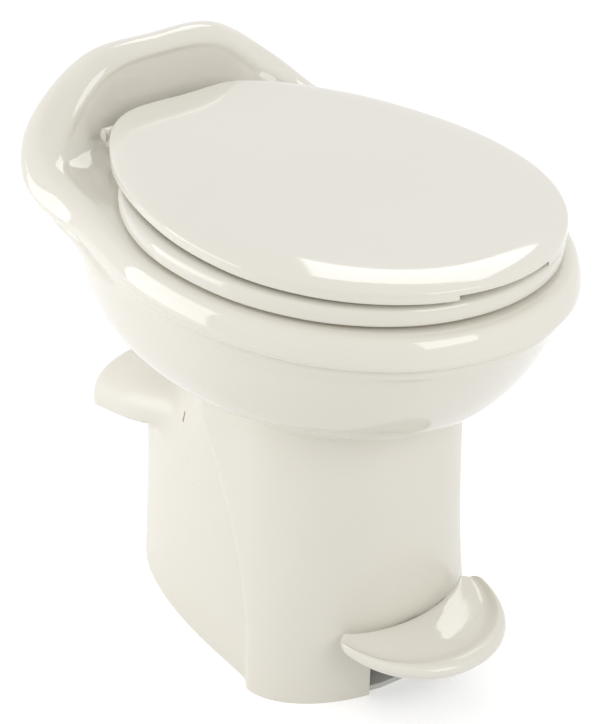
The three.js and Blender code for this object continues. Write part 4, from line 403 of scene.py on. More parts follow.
def cubic_spans(points, following, before, after, crisp_start, crisp_end, weights):
    """Cubic from each point to the one that follows it. Its end slopes are the centripetal
    ones: (b - a) / s - (c - a) / (s + t) + (c - b) / t, times t, where s, t and u are the
    square roots of the chords a-b, b-c and c-d. At a crisp end the slope is the chord."""
    chain = (before, points, following, after)
    s, t, u = (np.sqrt(np.linalg.norm(q - p, axis=-1, keepdims=True)) + 1e-9
               for p, q in zip(chain, chain[1:]))
    chord = following - points
    start = ((points - before) / s - (following - before) / (s + t) + chord / t) * t
    end = (chord / t - (after - points) / (t + u) + (after - following) / u) * t
    start = np.where(crisp_start, chord, start)
    end = np.where(crisp_end, chord, end)
    w = weights.reshape((-1,) + (1,) * points.ndim)
    curve = points + start * w + (3 * chord - 2 * start - end) * w ** 2
    return curve + (start + end - 2 * chord) * w ** 3


def smooth_ring(controls, fine):
    """Closed curve through control points that lie along the last axis but one."""
    following, before, after = (np.roll(controls, k, axis=-2) for k in (-1, 1, -2))
    spans = cubic_spans(controls, following, before, after, False, False,
                        np.arange(fine) / fine)
    moved = np.moveaxis(spans, 0, -2)
    return moved.reshape(controls.shape[:-2] + (controls.shape[-2] * fine, 3))


def lofted(rows, crisp, fine, endless):
    """Surface through rows of points: every column is a curve of cubic spans, and a crisp
    row keeps its edge. Spans between two crisp rows stay straight and aren't divided."""
    count = len(rows)
    sheets = []
    for k in range(count if endless else count - 1):
        around = np.array([k, k + 1, k - 1, k + 2])
        around = around % count if endless else around.clip(0, count - 1)
        ends = crisp[k], crisp[(k + 1) % count]
        parts = 1 if all(ends) else fine
        sheets.append(cubic_spans(*rows[around], *ends, np.arange(parts) / parts))
    if not endless:
        sheets.append(rows[-1][None])
    return np.concatenate(sheets)


def grid_mesh(name, grid, endless):
    """Mesh over a grid of rows and columns in metres. Columns join round. Rows join round
    when endless, and otherwise one flat face closes each end."""
    rows, columns = grid.shape[:2]
    r = np.arange(rows if endless else rows - 1)[:, None]
    c = np.arange(columns)[None, :]
    after_r, after_c = (r + 1) % rows, (c + 1) % columns
    quads = np.stack([r * columns + c, r * columns + after_c,
                      after_r * columns + after_c, after_r * columns + c], axis=-1)
    faces = quads.reshape(-1, 4).tolist()
    if not endless:
        ring = np.arange(columns)
        faces += [ring[::-1].tolist(), (ring + (rows - 1) * columns).tolist()]
    mesh = bpy.data.meshes.new(name)
    mesh.from_pydata(grid.reshape(-1, 3).tolist(), [], faces)
    mesh.update()
    return outward(mesh)


def outward(mesh):
    """Turns the faces so that the signed volume, the sum of a . (b x c) over the triangles
    that the faces divide into, is positive."""
    places = np.zeros(len(mesh.vertices) * 3)
    mesh.vertices.foreach_get("co", places)
    places = places.reshape(-1, 3)
    mesh.calc_loop_triangles()
    triangles = np.zeros(len(mesh.loop_triangles) * 3, np.int32)
    mesh.loop_triangles.foreach_get("vertices", triangles)
    a, b, c = places[triangles.reshape(-1, 3)].transpose(1, 0, 2)
    if np.einsum("ij,ij->i", a, np.cross(b, c)).sum() < 0:
        mesh.flip_normals()
    return mesh


def block(low, high):
    """Closed box between two corners, as two rows of four points."""
    (x0, y0, z0), (x1, y1, z1) = low, high
    ring = [(x0, y0), (x1, y0), (x1, y1), (x0, y1)]
    return grid_mesh("block", np.array([[(x, y, z) for x, y in ring] for z in (z0, z1)]), False)


def bar(radius, reach, axis, start, sides=64):
    """Closed cylinder: a circle of points at the start and the same one at the reach."""
    turn = np.arange(sides) * 2 * np.pi / sides
    flat = np.stack([np.cos(turn), np.sin(turn)], axis=-1) * radius
    rows = np.zeros((2, sides, 3))
    others = [k for k in range(3) if k != axis]
    rows[:, :, others] = flat
    rows[1, :, axis] = reach
    return grid_mesh("bar", rows + np.array(start), False)


def evaluated(body):
    """New mesh of an object as its modifiers leave it; the modifiers come off."""
    bpy.context.view_layer.update()
    graph = bpy.context.evaluated_depsgraph_get()
    mesh = bpy.data.meshes.new_from_object(body.evaluated_get(graph))
    body.modifiers.clear()
    return mesh


def combined(name, mesh, parts):
    """Object of a mesh after its parts are added or cut in order. Parts are pairs of a mesh
    and UNION or DIFFERENCE."""
    scene = bpy.context.scene
    body = bpy.data.objects.new(name, mesh)
    scene.collection.objects.link(body)
    tools = []
    for tool_mesh, operation in parts:
        tool = bpy.data.objects.new("tool", tool_mesh)
        scene.collection.objects.link(tool)
        modifier = body.modifiers.new(operation.lower(), "BOOLEAN")
        modifier.operation = operation
        modifier.solver = "MANIFOLD"
        modifier.object = tool
        tools.append(tool)
    result = evaluated(body)
    if len(result.polygons) == 0:
        raise RuntimeError(f"{name} came out empty")
    body.data = result
    for tool in tools:
        bpy.data.objects.remove(tool)
    result.name = name
    softened(result)
    return body


def blended(body, cell, low, high, fade):
    """Mesh of the solid rebuilt on a grid of cells and evened out, so that two forms that
    were joined run into each other. In each round a point moves half of the way to the mean
    of its neighbours. Inside the box there are many more rounds, fading outside it."""
    remesh = body.modifiers.new("remesh", "REMESH")
    remesh.mode = "VOXEL"
    remesh.voxel_size = cell
    mesh = evaluated(body)
    place = np.empty(len(mesh.vertices) * 3, np.float32)
    mesh.vertices.foreach_get("co", place)
    place = place.reshape(-1, 3).astype(float)
    ends = np.empty(len(mesh.edges) * 2, np.int32)
    mesh.edges.foreach_get("vertices", ends)
    one, two = ends.reshape(-1, 2).T
    count = np.bincount(ends, minlength=len(place))[:, None]
    out = np.maximum(np.array(low) - place, place - np.array(high)).max(axis=1)
    near = (1 - np.clip(out / fade, 0, 1))[:, None]
    eased = near * near * (3 - 2 * near)
    for weight, rounds in ((np.ones_like(near), EVEN_ROUNDS), (eased, BLEND_ROUNDS)):
        for _ in range(rounds):
            total = np.stack([np.bincount(one, place[two, k], len(place))
                              + np.bincount(two, place[one, k], len(place))
                              for k in range(3)], axis=1)
            place += weight * 0.5 * (total / count - place)
    mesh.vertices.foreach_set("co", place.ravel().astype(np.float32))
    mesh.update()
    return mesh


def softened(mesh):
    """Smooth shading with an edge wherever two faces meet at more than the sharp angle."""
    mesh.polygons.foreach_set("use_smooth", np.ones(len(mesh.polygons), bool))
    mesh.set_sharp_from_angle(angle=SHARP_ANGLE)
    mesh.update()


def settle(body, rides, stands_for, slot_name):
    """Gives a finished piece the finish of its slot, hangs it under its CAD body and hides the CAD
    node that it stands for.
    """
    body.data.materials.clear()
    body.data.materials.append(finish(slot_name))
    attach(body, rides)
    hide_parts(stands_for)


def front_controls(half, centre_y, front_y, z, power=2.0):
    """Nine points of a half superellipse from the right side round the front to the left."""
    angle = np.pi * np.arange(9) / 8
    c, s = np.cos(angle), np.sin(angle)
    c[4] = 0
    x = half * np.sign(c) * np.abs(c) ** (2 / power)
    y = centre_y - (centre_y - front_y) * np.abs(s) ** (2 / power)
    return np.stack([x, y, np.full(9, z)], axis=-1)


def rear_controls(stations):
    """Rear half: left-side stations that end in the middle, mirrored to the right."""
    right = np.array(stations, float)
    left = right * [-1, 1, 1]
    return np.concatenate([left, right[-2::-1]])


def egg_ring(half, centre_y, front_y, rear_y, z, front_power=2.0, rear_power=2.0, rise=0.0):
    """Eighteen control points of an egg-shaped ring whose rear may rise to the middle."""
    turn = np.array(EGG_TURN_SHARES) * np.pi / 2
    c, s = np.cos(turn), np.sin(turn)
    c[-1] = 0
    x = half * c ** (2 / rear_power)
    y = centre_y + (rear_y - centre_y) * s ** (2 / rear_power)
    rear = rear_controls(np.stack([x, y, z + rise * s * s], axis=-1))
    return np.concatenate([front_controls(half, centre_y, front_y, z, front_power), rear])


def back_ring(p, name, z):
    """Ring of the rim whose rear follows the raised back."""
    wide, ahead = CREST_FRONT_SHARES[name]
    shares = np.array(CREST_SHARES[name])
    stations = shares * [p.half_width, p.half_depth, p.crest - p.rim] + [0, 0, p.rim]
    front = front_controls(p.half_width * wide, p.middle, -p.half_depth * ahead, z, RIM_POWER)
    return np.concatenate([front, rear_controls(stations)])


def belly_ring(p, row, wall):
    """Ring of the belly at one of its rows, drawn in by the wall for the hollow."""
    up, wide, ahead, middle, behind, lift = row
    return egg_ring(p.half_width * wide - wall, p.half_depth * middle,
                    -p.half_depth * ahead + wall, p.half_depth * behind - wall,
                    mix(p.foot, p.crease, up) + wall * (1 - up) / 2,
                    *BELLY_POWERS, (p.crest - p.rim) * lift)


def foot_ring(inset, z):
    """Ring of the foot, on the outline of the pedestal's top."""
    p = bpy.context.scene.toilet_pedestal
    return egg_ring(p.half - inset, p.centre_y, p.front_y + inset, p.rear_y - inset, z,
                    *FOOT_POWERS)


def basin_ring(p, row, wall):
    """Ring of the basin at one of its rows, from the rim's opening to the outlet."""
    down, wide, ahead, behind = row
    return egg_ring(mix(p.outlet_radius, p.basin_half, wide) + wall,
                    mix(p.outlet_y, p.basin_y, wide),
                    mix(p.outlet_y - p.outlet_radius, p.basin_front, ahead) - wall,
                    mix(p.outlet_y + p.outlet_radius, p.basin_rear, behind) + wall,
                    mix(p.rim, p.outlet_face, down) - wall * down)


def outlet_ring(p, radius, z):
    """Round ring about the outlet."""
    return egg_ring(radius, p.outlet_y, p.outlet_y - radius, p.outlet_y + radius, z)


def rim_ring(p, offset, z):
    """Ring about the opening of the basin."""
    return egg_ring(p.basin_half + offset, p.basin_y, p.basin_front - offset,
                    p.basin_rear + offset, z)


def bowl_rows(p):
    """Rows of the bowl from its foot up the belly, over the crest, down the basin to the
    outlet, and back through the hollow wall. Each comes with whether its edge is crisp."""
    hollow = p.rim - p.rim_thickness
    neck = mix(p.outlet_radius, p.flange_radius, NECK_SHARE)
    soft, edge = False, True
    rows = [(foot_ring(0, p.foot), edge), (foot_ring(0, p.foot + p.chamfer), soft)]
    rows += [(belly_ring(p, row, 0), soft) for row in BELLY_SHARES]
    rows += [
        (back_ring(p, "under_crest", p.crease - p.band_edge), soft),
        (back_ring(p, "under_crest", p.crease - p.band_edge * 0.1), edge),
        (back_ring(p, "crease", p.crease + p.band_edge), soft),
        (back_ring(p, "bulge", p.bulge), soft),
        (back_ring(p, "crest_inner", mix(p.bulge, p.rim, 0.76)), soft),
        (back_ring(p, "lip", mix(p.bulge, p.rim, 0.97)), soft),
        (back_ring(p, "lip_inner", p.rim), soft),
        (back_ring(p, "wall_middle", p.rim), soft),
        (back_ring(p, "wall_foot", p.rim), soft),
        (back_ring(p, "deck_edge", p.rim), soft),
        (back_ring(p, "deck_foot", p.rim), soft),
        (rim_ring(p, p.chamfer, mix(p.rim, p.bulge, 0.1)), soft),
    ]
    rows += [(basin_ring(p, row, 0), soft) for row in BASIN_SHARES]
    rows += [
        (outlet_ring(p, p.outlet_radius, p.outlet_face + p.flange_thickness / 2), soft),
        (outlet_ring(p, p.outlet_radius, p.outlet_face), edge),
        (outlet_ring(p, p.flange_radius - p.chamfer, p.outlet_face), edge),
        (outlet_ring(p, p.flange_radius, p.outlet_face + p.flange_thickness), edge),
        (outlet_ring(p, neck, p.outlet_face + p.flange_thickness + p.chamfer), edge),
    ]
    rows += [(basin_ring(p, row, p.wall), edge) for row in BASIN_SHARES[4:0:-1]]
    rows += [
        (rim_ring(p, p.wall, hollow - p.chamfer), edge),
        (rim_ring(p, p.wall * 1.8, hollow + p.chamfer), edge),
        (back_ring(p, "hollow_wall", hollow + p.chamfer), edge),
        (back_ring(p, "hollow_front", hollow + p.chamfer), edge),
        (back_ring(p, "hollow_rear", hollow - p.chamfer), edge),
        (back_ring(p, "hollow_back", p.crease), edge),
    ]
    rows += [(belly_ring(p, row, p.wall), edge) for row in BELLY_SHARES[::-1]]
    rows += [(foot_ring(p.foot_width - p.chamfer, p.foot + p.foot_height), edge),
             (foot_ring(p.foot_width, p.foot), edge)]
    return rows


def bowl_bolt_holes(reach, bottom):
    """Holes for the bolts that join the bowl's foot and the pedestal's ledge."""
    places = foot_ring(bpy.context.scene.toilet_pedestal.bolt_inset, 0)[list(BOLT_STATIONS), :2]
    return [bar(BOLT_HOLE, reach, 2, (x, y, bottom)) for x, y in places]


def housing_screw_holes(p):
    """Blind holes in the outlet flange for the screws of the valve housing."""
    return [bar(SCREW_HOLE, p.hole_depth + OVERRUN, 2, (x, y, p.outlet_face - OVERRUN))
            for x in (p.housing_left, p.housing_right)
            for y in (p.housing_front, p.housing_rear)]


def hinge_cuts(p, s, side):
    """Flat place on the deck under a hinge post, and the hole for its stud."""
    x = side * (s.lug_x + s.lug_width + s.gap + s.post_width / 2)
    half, deep = s.post_width / 2 + LOOSE_GAP, s.post_half + LOOSE_GAP
    deck = p.rim + p.deck_rise
    return [block((x - half, s.hinge_y - deep, deck),
                  (x + half, s.hinge_y + deep, deck + p.deck_rise)),
            bar(BOLT_HOLE, p.rim_thickness * 3, 2, (x, s.hinge_y, p.rim - p.rim_thickness * 2))]


class TOILET_OT_bowl(bpy.types.Operator):
    """Glazed bowl with raised back, hinge deck, basin, outlet flange and drilled holes"""
    bl_idname = "toilet.bowl"
    bl_label = "Bowl"

    def execute(self, context):
        p = context.scene.toilet_bowl
        s = context.scene.toilet_seat
        rows, crisp = zip(*bowl_rows(p))
        rings = smooth_ring(np.array(rows), fineness())
        grid = lofted(rings, crisp, half_fineness(), True)
        cuts = hinge_cuts(p, s, -1) + hinge_cuts(p, s, 1)
        cuts += bowl_bolt_holes(p.hole_depth + OVERRUN, p.foot - OVERRUN)
        cuts += housing_screw_holes(p)
        cuts.append(bar(p.spud_hole, p.wall * 4, 1, (0, p.basin_rear - p.wall * 2, p.spud_height)))
        mesh = grid_mesh("toilet_bowl", grid, True)
        body = combined("toilet_bowl", mesh, [(cut, "DIFFERENCE") for cut in cuts])
        settle(body, "base", "bowl", "glazed_bowl")
        return {"FINISHED"}


def column_grid(p, inset, levels, fine):
    """Pedestal outline at each level: a superellipse round the front, a straight side, a
    rounded step down to the tail, and the tail's superellipse. The flare towards the floor
    is (1 - z / flare height) squared. The inset moves all of it inwards."""
    z = np.asarray(levels)[:, None]
    rise = np.clip(z / p.foot, 0, 1)
    flare = (1 - rise) ** 2
    half = mix(p.half, p.floor_half, flare) - inset
    centre = mix(p.centre_y, p.floor_y, flare)
    front = mix(p.front_y, p.floor_front, flare) + inset
    power = mix(*COLUMN_POWERS, flare)
    ridge = mix(p.ridge_foot_y, p.ridge_top_y, rise ** RIDGE_BEND) - inset
    ridge = np.maximum(ridge, centre + MM)
    step = ridge + mix(p.ridge_run_top, p.ridge_run_foot, flare)
    above = np.clip((z - p.shoulder) / (p.tail_top - p.shoulder), 0, 1)
    rear = mix(p.tail_rear, p.rear_y, above ** TAIL_BEND) - inset
    tail_half = half - mix(p.ridge_depth, p.ridge_depth_top, rise)
    tail_power = mix(*TAIL_POWERS, above)
    reach = rear - p.tail_y
    start = np.arcsin(np.clip(((step - p.tail_y) / reach).clip(0) ** (tail_power / 2), 0, 0.9))
    a = np.linspace(0, np.pi / 2, 6 * fine)[None, :]
    front_x = half * np.sin(a) ** (2 / power)
    front_y = centre - (centre - front) * np.abs(np.cos(a)).clip(1e-9) ** (2 / power)
    w = np.linspace(0, 1, fine + 1)[None, 1:]
    side_x, side_y = half + 0 * w, mix(centre, ridge, w)
    b = mix(start, np.pi / 2, np.linspace(0, 1, 6 * fine)[None, :])
    tail_x = tail_half * np.abs(np.cos(b)).clip(1e-9) ** (2 / tail_power)
    tail_y = np.maximum(p.tail_y + reach * np.sin(b) ** (2 / tail_power), step)
    w = np.linspace(0, 1, fine + 1)[None, 1:-1]
    step_x = mix(half, tail_x[:, :1], 1 - (1 - w) ** 2)
    step_y = mix(ridge, step, w)
    x = np.concatenate([front_x, side_x, step_x, tail_x], axis=1)
    y = np.concatenate([front_y, side_y, step_y, tail_y], axis=1)
    x[:, 0] = x[:, -1] = 0
    left = np.stack([-x, y, z + 0 * x], axis=-1)
    right = np.stack([x, y, z + 0 * x], axis=-1)[:, -2:0:-1]
    return np.concatenate([left, right], axis=1)


def hood_grid(p, inset, fine):
    """Rear hood: sections of flat underside, round lower corners and a broad superellipse
    over them, which widen and sink towards the rear, then draw in over a quarter round."""
    straight, quarter = 10 * fine, 2 * fine
    turn = np.zeros(straight + quarter)
    turn[straight:] = np.linspace(0, np.pi / 2 * HOOD_ROUND_SHARE, quarter)
    rear = p.pod_rear - inset
    y = rear - p.pod_edge * (1 - np.sin(turn))
    y[:straight] = np.linspace(p.pod_front, rear - p.pod_edge, straight)
    # The round starts a hair behind the straight, so that no two sections coincide
    y[straight] = rear - p.pod_edge * HOOD_START_SHARE
    y, turn = y[:, None], turn[:, None]
    part = np.clip((y - p.pod_front) / (p.pod_rear - p.pod_front), 0, 1)
    draw = inset + p.pod_edge * (1 - np.cos(turn))
    half = mix(p.pod_front_half, p.pod_rear_half, np.minimum(1, part * HOOD_WIDENING)) - draw
    top = mix(p.pod_front_top, p.pod_rear_top, part ** HOOD_TOP_BEND) - draw
    bottom = mix(p.pod_front_bottom, p.pod_rear_bottom, part ** HOOD_BOTTOM_BEND) + draw
    across, upward = HOOD_POWERS
    a = np.linspace(0, np.pi, 8 * fine)[None, :]
    c, s = np.cos(a), np.sin(a).clip(0)
    over_x = half * np.sign(c) * np.abs(c) ** (2 / across)
    over_z = mix(bottom + p.pod_edge / 2, top, s ** (2 / upward))
    b = np.linspace(0, np.pi / 2, fine + 2)[None, 1:]
    r = p.pod_edge / 2
    corner_x = -(half - r + r * np.cos(b))
    corner_z = bottom + r - r * np.sin(b)
    w = np.linspace(-1, 1, fine + 2)[None, 1:-1]
    flat_x, flat_z = (half - r) * w, bottom + 0 * w
    x = np.concatenate([over_x, corner_x, flat_x, -corner_x[:, ::-1]], axis=1)
    z = np.concatenate([over_z, corner_z, flat_z, corner_z[:, ::-1]], axis=1)
    return np.stack([x, y + 0 * x, z], axis=-1)


def pedestal_blank(p, fine):
    """Solid column with the hood blended into its rear, longer than the pedestal."""
    levels = np.linspace(-p.spare, p.top + p.spare, 14 * fine)
    outer = grid_mesh("column", column_grid(p, 0, levels, fine), False)
    hood = grid_mesh("hood", hood_grid(p, 0, fine), False)
    body = combined("blank", outer, [(hood, "UNION")])
    fade = p.pod_edge * 4
    mesh = blended(body, p.blend, (-p.half, p.pod_front, p.pod_front_bottom - fade),
                   (p.half, p.rear_y, p.pod_front_top + p.pod_edge), fade)
    bpy.data.objects.remove(body)
    return mesh


def pedestal_ends(p):
    """Blocks that take off what the blank has below the floor and above the top."""
    wide = p.floor_half * 2
    return [block((-wide, -wide * 2, low), (wide, wide * 2, high))
            for low, high in ((-p.spare * 2, 0), (p.top, p.top + p.spare * 2))]


def pedestal_hollows(p, fine):
    """Hollows of the column and of the hood, and the opening inside the top ledge."""
    levels = np.linspace(-OVERRUN / 2, p.top - p.ledge_thickness, 6 * fine)
    ledge = np.array([foot_ring(p.wall + p.ledge_width, z)
                      for z in (p.top - p.ledge_thickness - OVERRUN, p.top + OVERRUN)])
    return [grid_mesh("hollow", column_grid(p, p.wall, levels, fine), False),
            grid_mesh("hood_hollow", hood_grid(p, p.wall * 2, fine), False),
            grid_mesh("ledge", smooth_ring(ledge, fineness()), False)]


def pedestal_openings(p):
    """Slot of the lever, service opening, one slot in each flank and the bolt holes."""
    cuts = [block((-p.slot_half, p.front_y, -OVERRUN), (p.slot_half, p.slot_rear, p.slot_top)),
            block((-p.service_half, p.service_front, p.service_bottom),
                  (p.service_half, p.service_rear, p.service_top))]
    half = np.array([p.mark_depth, p.mark_width / 2, p.mark_length / 2])
    for side in (-1, 1):
        middle = np.array([side * p.half, p.mark_y, p.mark_z])
        cuts.append(block(middle - half, middle + half))
    return cuts + bowl_bolt_holes(p.ledge_thickness + OVERRUN * 2,
                                  p.top - p.ledge_thickness - OVERRUN)


class TOILET_OT_pedestal(bpy.types.Operator):
    """Moulded pedestal: column, side ridges, tail, rear hood, ledge and openings"""
    bl_idname = "toilet.pedestal"
    bl_label = "Pedestal"

    def execute(self, context):
        p = context.scene.toilet_pedestal
        blank = pedestal_blank(p, half_fineness())
        cuts = pedestal_ends(p) + pedestal_hollows(p, half_fineness()) + pedestal_openings(p)
        body = combined("toilet_pedestal", blank, [(cut, "DIFFERENCE") for cut in cuts])
        settle(body, "base", "pedestal", "moulded_shell")
        return {"FINISHED"}


def seat_grid(s):
    """Ring whose section goes from the outer outline inwards to that of the opening."""
    rows = []
    for inwards, up in SEAT_SECTION_SHARES:
        rows.append(egg_ring(mix(s.half, s.hole_half, inwards), mix(s.centre_y, s.hole_y, inwards),
                             mix(s.front_y, s.hole_front, inwards),
                             mix(s.rear_y, s.hole_rear, inwards),
                             mix(s.bottom, s.top, up), SEAT_POWER))
    rings = smooth_ring(np.array(rows), fineness())
    return lofted(rings, [False] * len(rows), half_fineness(), True)


def hinge_barrel(s, low, width):
    """Barrel of a lug or an ear from its lower end in x, to be added."""
    return bar(s.barrel, width, 0, (low, s.hinge_y, s.hinge_z)), "UNION"


def hinge_bore(s):
    """Bore for the pins through both hinges, to be cut."""
    return bar(s.pin, s.half * 2, 0, (-s.half, s.hinge_y, s.hinge_z)), "DIFFERENCE"


class TOILET_OT_seat(bpy.types.Operator):
    """Ring seat with its two hinge ears"""
    bl_idname = "toilet.seat"
    bl_label = "Seat"

    def execute(self, context):
        s = context.scene.toilet_seat
        inner = s.lug_x + s.lug_width + s.gap * 2 + s.post_width
        parts = []
        for side in (-1, 1):
            low = min(side * inner, side * (inner + s.ear_width))
            parts.append(hinge_barrel(s, low, s.ear_width))
            parts.append((block((low, s.ear_front, s.hinge_z - s.ear_drop),
                                (low + s.ear_width, s.hinge_y, s.top - s.ear_step)), "UNION"))
        parts.append(hinge_bore(s))
        mesh = grid_mesh("toilet_seat", seat_grid(s), True)
        body = combined("toilet_seat", mesh, parts)
        settle(body, "seat", "seat", "seat_plastic")
        return {"FINISHED"}


def lid_ring(s, inset, z, scale=1.0, behind=1.0):
    """Half ellipse in front; behind, a longer ellipse cut off straight. Behind gives the
    share of the inset that the straight edge keeps."""
    wide = (s.lid_half - inset) * scale
    front_y = mix(s.lid_y, s.lid_front + inset, scale)
    back_y = mix(s.lid_y, s.lid_back - inset * behind, scale)
    reach = (s.lid_reach - inset * behind) * scale
    y = mix(s.lid_y, back_y, np.array([*LID_SIDE_SHARES, 1, 1]))
    x = wide * np.sqrt(1 - ((y - s.lid_y) / reach) ** 2)
    x[-2:] *= LID_CORNER_SHARE, 0
    stations = np.stack([x, y, np.full(len(x), z)], axis=-1)
    return np.concatenate([front_controls(wide, s.lid_y, front_y, z), rear_controls(stations)])


def lid_underside(s):
    """Height of the inner face of the panel."""
    return s.lid_top - s.lid_roll / 2 - s.lid_shell


def lid_rows(s):
    """Rows of the lid from the middle of the panel over the rolled border, down the skirt
    and back underneath, each with whether its edge is crisp."""
    top, bottom, border, shell = s.lid_top, s.lid_bottom, s.lid_border, s.lid_shell
    under = lid_underside(s)
    rows = [(lid_ring(s, border, top, 0.5, LID_BORDER_SHARES[0][2]), True)]
    rows += [(lid_ring(s, border * inwards, top - s.lid_roll * down, 1, behind), False)
             for inwards, down, behind in LID_BORDER_SHARES]
    return rows + [
        (lid_ring(s, shell * 0.06, top - s.lid_roll * 1.15), False),
        (lid_ring(s, 0, mix(top - s.lid_roll, bottom, 0.4)), False),
        (lid_ring(s, 0, mix(top, bottom, 0.95)), False),
        (lid_ring(s, shell * 0.2, bottom), True),
        (lid_ring(s, shell, bottom), True),
        (lid_ring(s, shell * 1.2, under), True),
        (lid_ring(s, border, under), True),
        (lid_ring(s, border, under, 0.5), True),
    ]


class TOILET_OT_lid(bpy.types.Operator):
    """Lid with flat panel, rolled border, skirt, finger notch and hinge lugs"""
    bl_idname = "toilet.lid"
    bl_label = "Lid"

    def execute(self, context):
        s = context.scene.toilet_seat
        rows, crisp = zip(*lid_rows(s))
        rings = smooth_ring(np.array(rows), fineness())
        grid = lofted(rings, crisp, half_fineness(), False)
        low_z = s.lid_bottom - OVERRUN
        parts = [
            (block((-s.notch_half, s.lid_front - OVERRUN, low_z),
                   (s.notch_half, s.lid_front + s.notch_depth, s.lid_bottom + s.notch_rise)),
             "DIFFERENCE"),
            (block((-s.lid_half, s.hinge_y - s.barrel - s.lid_play, low_z),
                   (s.lid_half, s.lid_back + OVERRUN, s.hinge_z + s.barrel + s.lid_play / 2)),
             "DIFFERENCE"),
        ]
        for side in (-1, 1):
            low = min(side * s.lug_x, side * (s.lug_x + s.lug_width))
            parts.append(hinge_barrel(s, low, s.lug_width))
            parts.append((block((low, s.hinge_y - s.barrel, s.hinge_z),
                                (low + s.lug_width, s.hinge_y + s.barrel * 0.6,
                                 lid_underside(s) + s.lid_shell / 2)), "UNION"))
        parts.append(hinge_bore(s))
        mesh = grid_mesh("toilet_lid", grid, False)
        body = combined("toilet_lid", mesh, parts)
        settle(body, "lid", "lid", "seat_plastic")
        return {"FINISHED"}


def pedal_rings(p, turns):
    """Crescent: a section swept half round the column. It reaches from the column's face,
    an ellipse at the pedal's height, to a superellipse outside. Its depth fades with the root
    of the sine of the turn, and at both ends it shrinks to its middle as a quarter round."""
    q = bpy.context.scene.toilet_pedestal
    turn = (1 - np.cos(np.linspace(0, np.pi, turns))) / 2
    ends = np.clip(np.minimum(turn, 1 - turn) / PEDAL_ROUND_SHARE, 0, 1)
    swell = np.sqrt(1 - (1 - ends) ** 2).clip(PEDAL_END_SHARE)[:, None, None]
    angle = mix(PEDAL_OUTER_SHARE, 1 - PEDAL_OUTER_SHARE, turn)[:, None] * np.pi
    c, s = np.cos(angle), np.sin(angle)
    inner = np.cos(mix(PEDAL_INNER_SHARE, 1 - PEDAL_INNER_SHARE, turn)[:, None] * np.pi)
    flare = (1 - p.rim / q.foot) ** 2
    face_half = mix(q.half, q.floor_half, flare)
    face_y = mix(q.centre_y, q.floor_y, flare)
    face_front = mix(q.front_y, q.floor_front, flare) - p.gap
    outer_y = p.horn_y - (p.horn_y - p.tip_y) * s ** (2 / PEDAL_POWER)
    outer_x = p.half * np.sign(c) * np.abs(c) ** (2 / PEDAL_POWER)
    inner_x = (p.half - q.pod_edge) * inner
    bend = np.sqrt(1 - (inner_x / (face_half + p.gap)) ** 2)
    inner_y = face_y - (face_y - face_front) * bend
    drop = mix(PEDAL_DEPTH_SHARE, 1, s ** 0.5)
    out, up = np.array(PEDAL_SECTION_SHARES).T[:, None, :]
    x = mix(inner_x, outer_x, out)
    y = mix(inner_y, outer_y, out)
    z = mix(p.rim, mix(p.bottom, p.rim, up), drop)
    grid = np.stack([x, y, z], axis=-1)
    middle = grid.mean(axis=1, keepdims=True)
    return middle + (grid - middle) * swell


class TOILET_OT_pedal(bpy.types.Operator):
    """Crescent foot pedal with raised edge and the seat for its lever"""
    bl_idname = "toilet.pedal"
    bl_label = "Pedal"

    def execute(self, context):
        p = context.scene.toilet_pedal
        q = context.scene.toilet_pedestal
        grid = smooth_ring(pedal_rings(p, 14 * fineness()), half_fineness())
        half, top = p.arm_half, p.arm_top + CLOSE_GAP
        boss = block((-half, p.arm_front, top),
                     (half, q.front_y - p.gap * 3, mix(p.bottom, p.pad, 0.4)))
        under = block((-half - CLOSE_GAP, p.arm_front - CLOSE_GAP, p.arm_top - OVERRUN),
                      (half + CLOSE_GAP, p.horn_y, top))
        parts = [(boss, "UNION"), (under, "DIFFERENCE")]
        for part in SCREW_SHARES:
            start = (0, mix(p.arm_rear, p.arm_front, part), p.bottom - OVERRUN)
            hole = bar(SCREW_HOLE, p.screw_depth + OVERRUN, 2, start)
            parts.append((hole, "DIFFERENCE"))
        body = combined("toilet_pedal", grid_mesh("toilet_pedal", grid, False), parts)
        settle(body, "pedal", "pedal", "seat_plastic")
        return {"FINISHED"}


def new_group(name, inputs, outputs):
    """Empty shader node group with named sockets. Inputs are name, kind and default."""
    group = bpy.data.node_groups.new(name, "ShaderNodeTree")
    for label, kind, value in inputs:
        socket = group.interface.new_socket(label, in_out="INPUT", socket_type=kind)
        socket.default_value = value
    for label, kind in outputs:
        group.interface.new_socket(label, in_out="OUTPUT", socket_type=kind)
    nodes = group.nodes
    return group, nodes.new("NodeGroupInput"), nodes.new("NodeGroupOutput")


def add(tree, kind, links=(), **values):
    """New node with its settings and input values, and links into its inputs."""
    made = tree.nodes.new(kind)
    for label, value in values.items():
        if hasattr(made, label):
            setattr(made, label, value)
        else:
            made.inputs[label.replace("_", " ")].default_value = value
    for label, source in links:
        tree.links.new(source, made.inputs[label])
    return made


def noise(tree, scale, detail, roughness=0.5):
    """Noise on the piece's own coordinates, at the scale that a socket gives."""
    place = add(tree, "ShaderNodeTexCoord")
    return add(tree, "ShaderNodeTexNoise", [("Vector", place.outputs["Object"]), ("Scale", scale)],
               Detail=detail, Roughness=roughness)


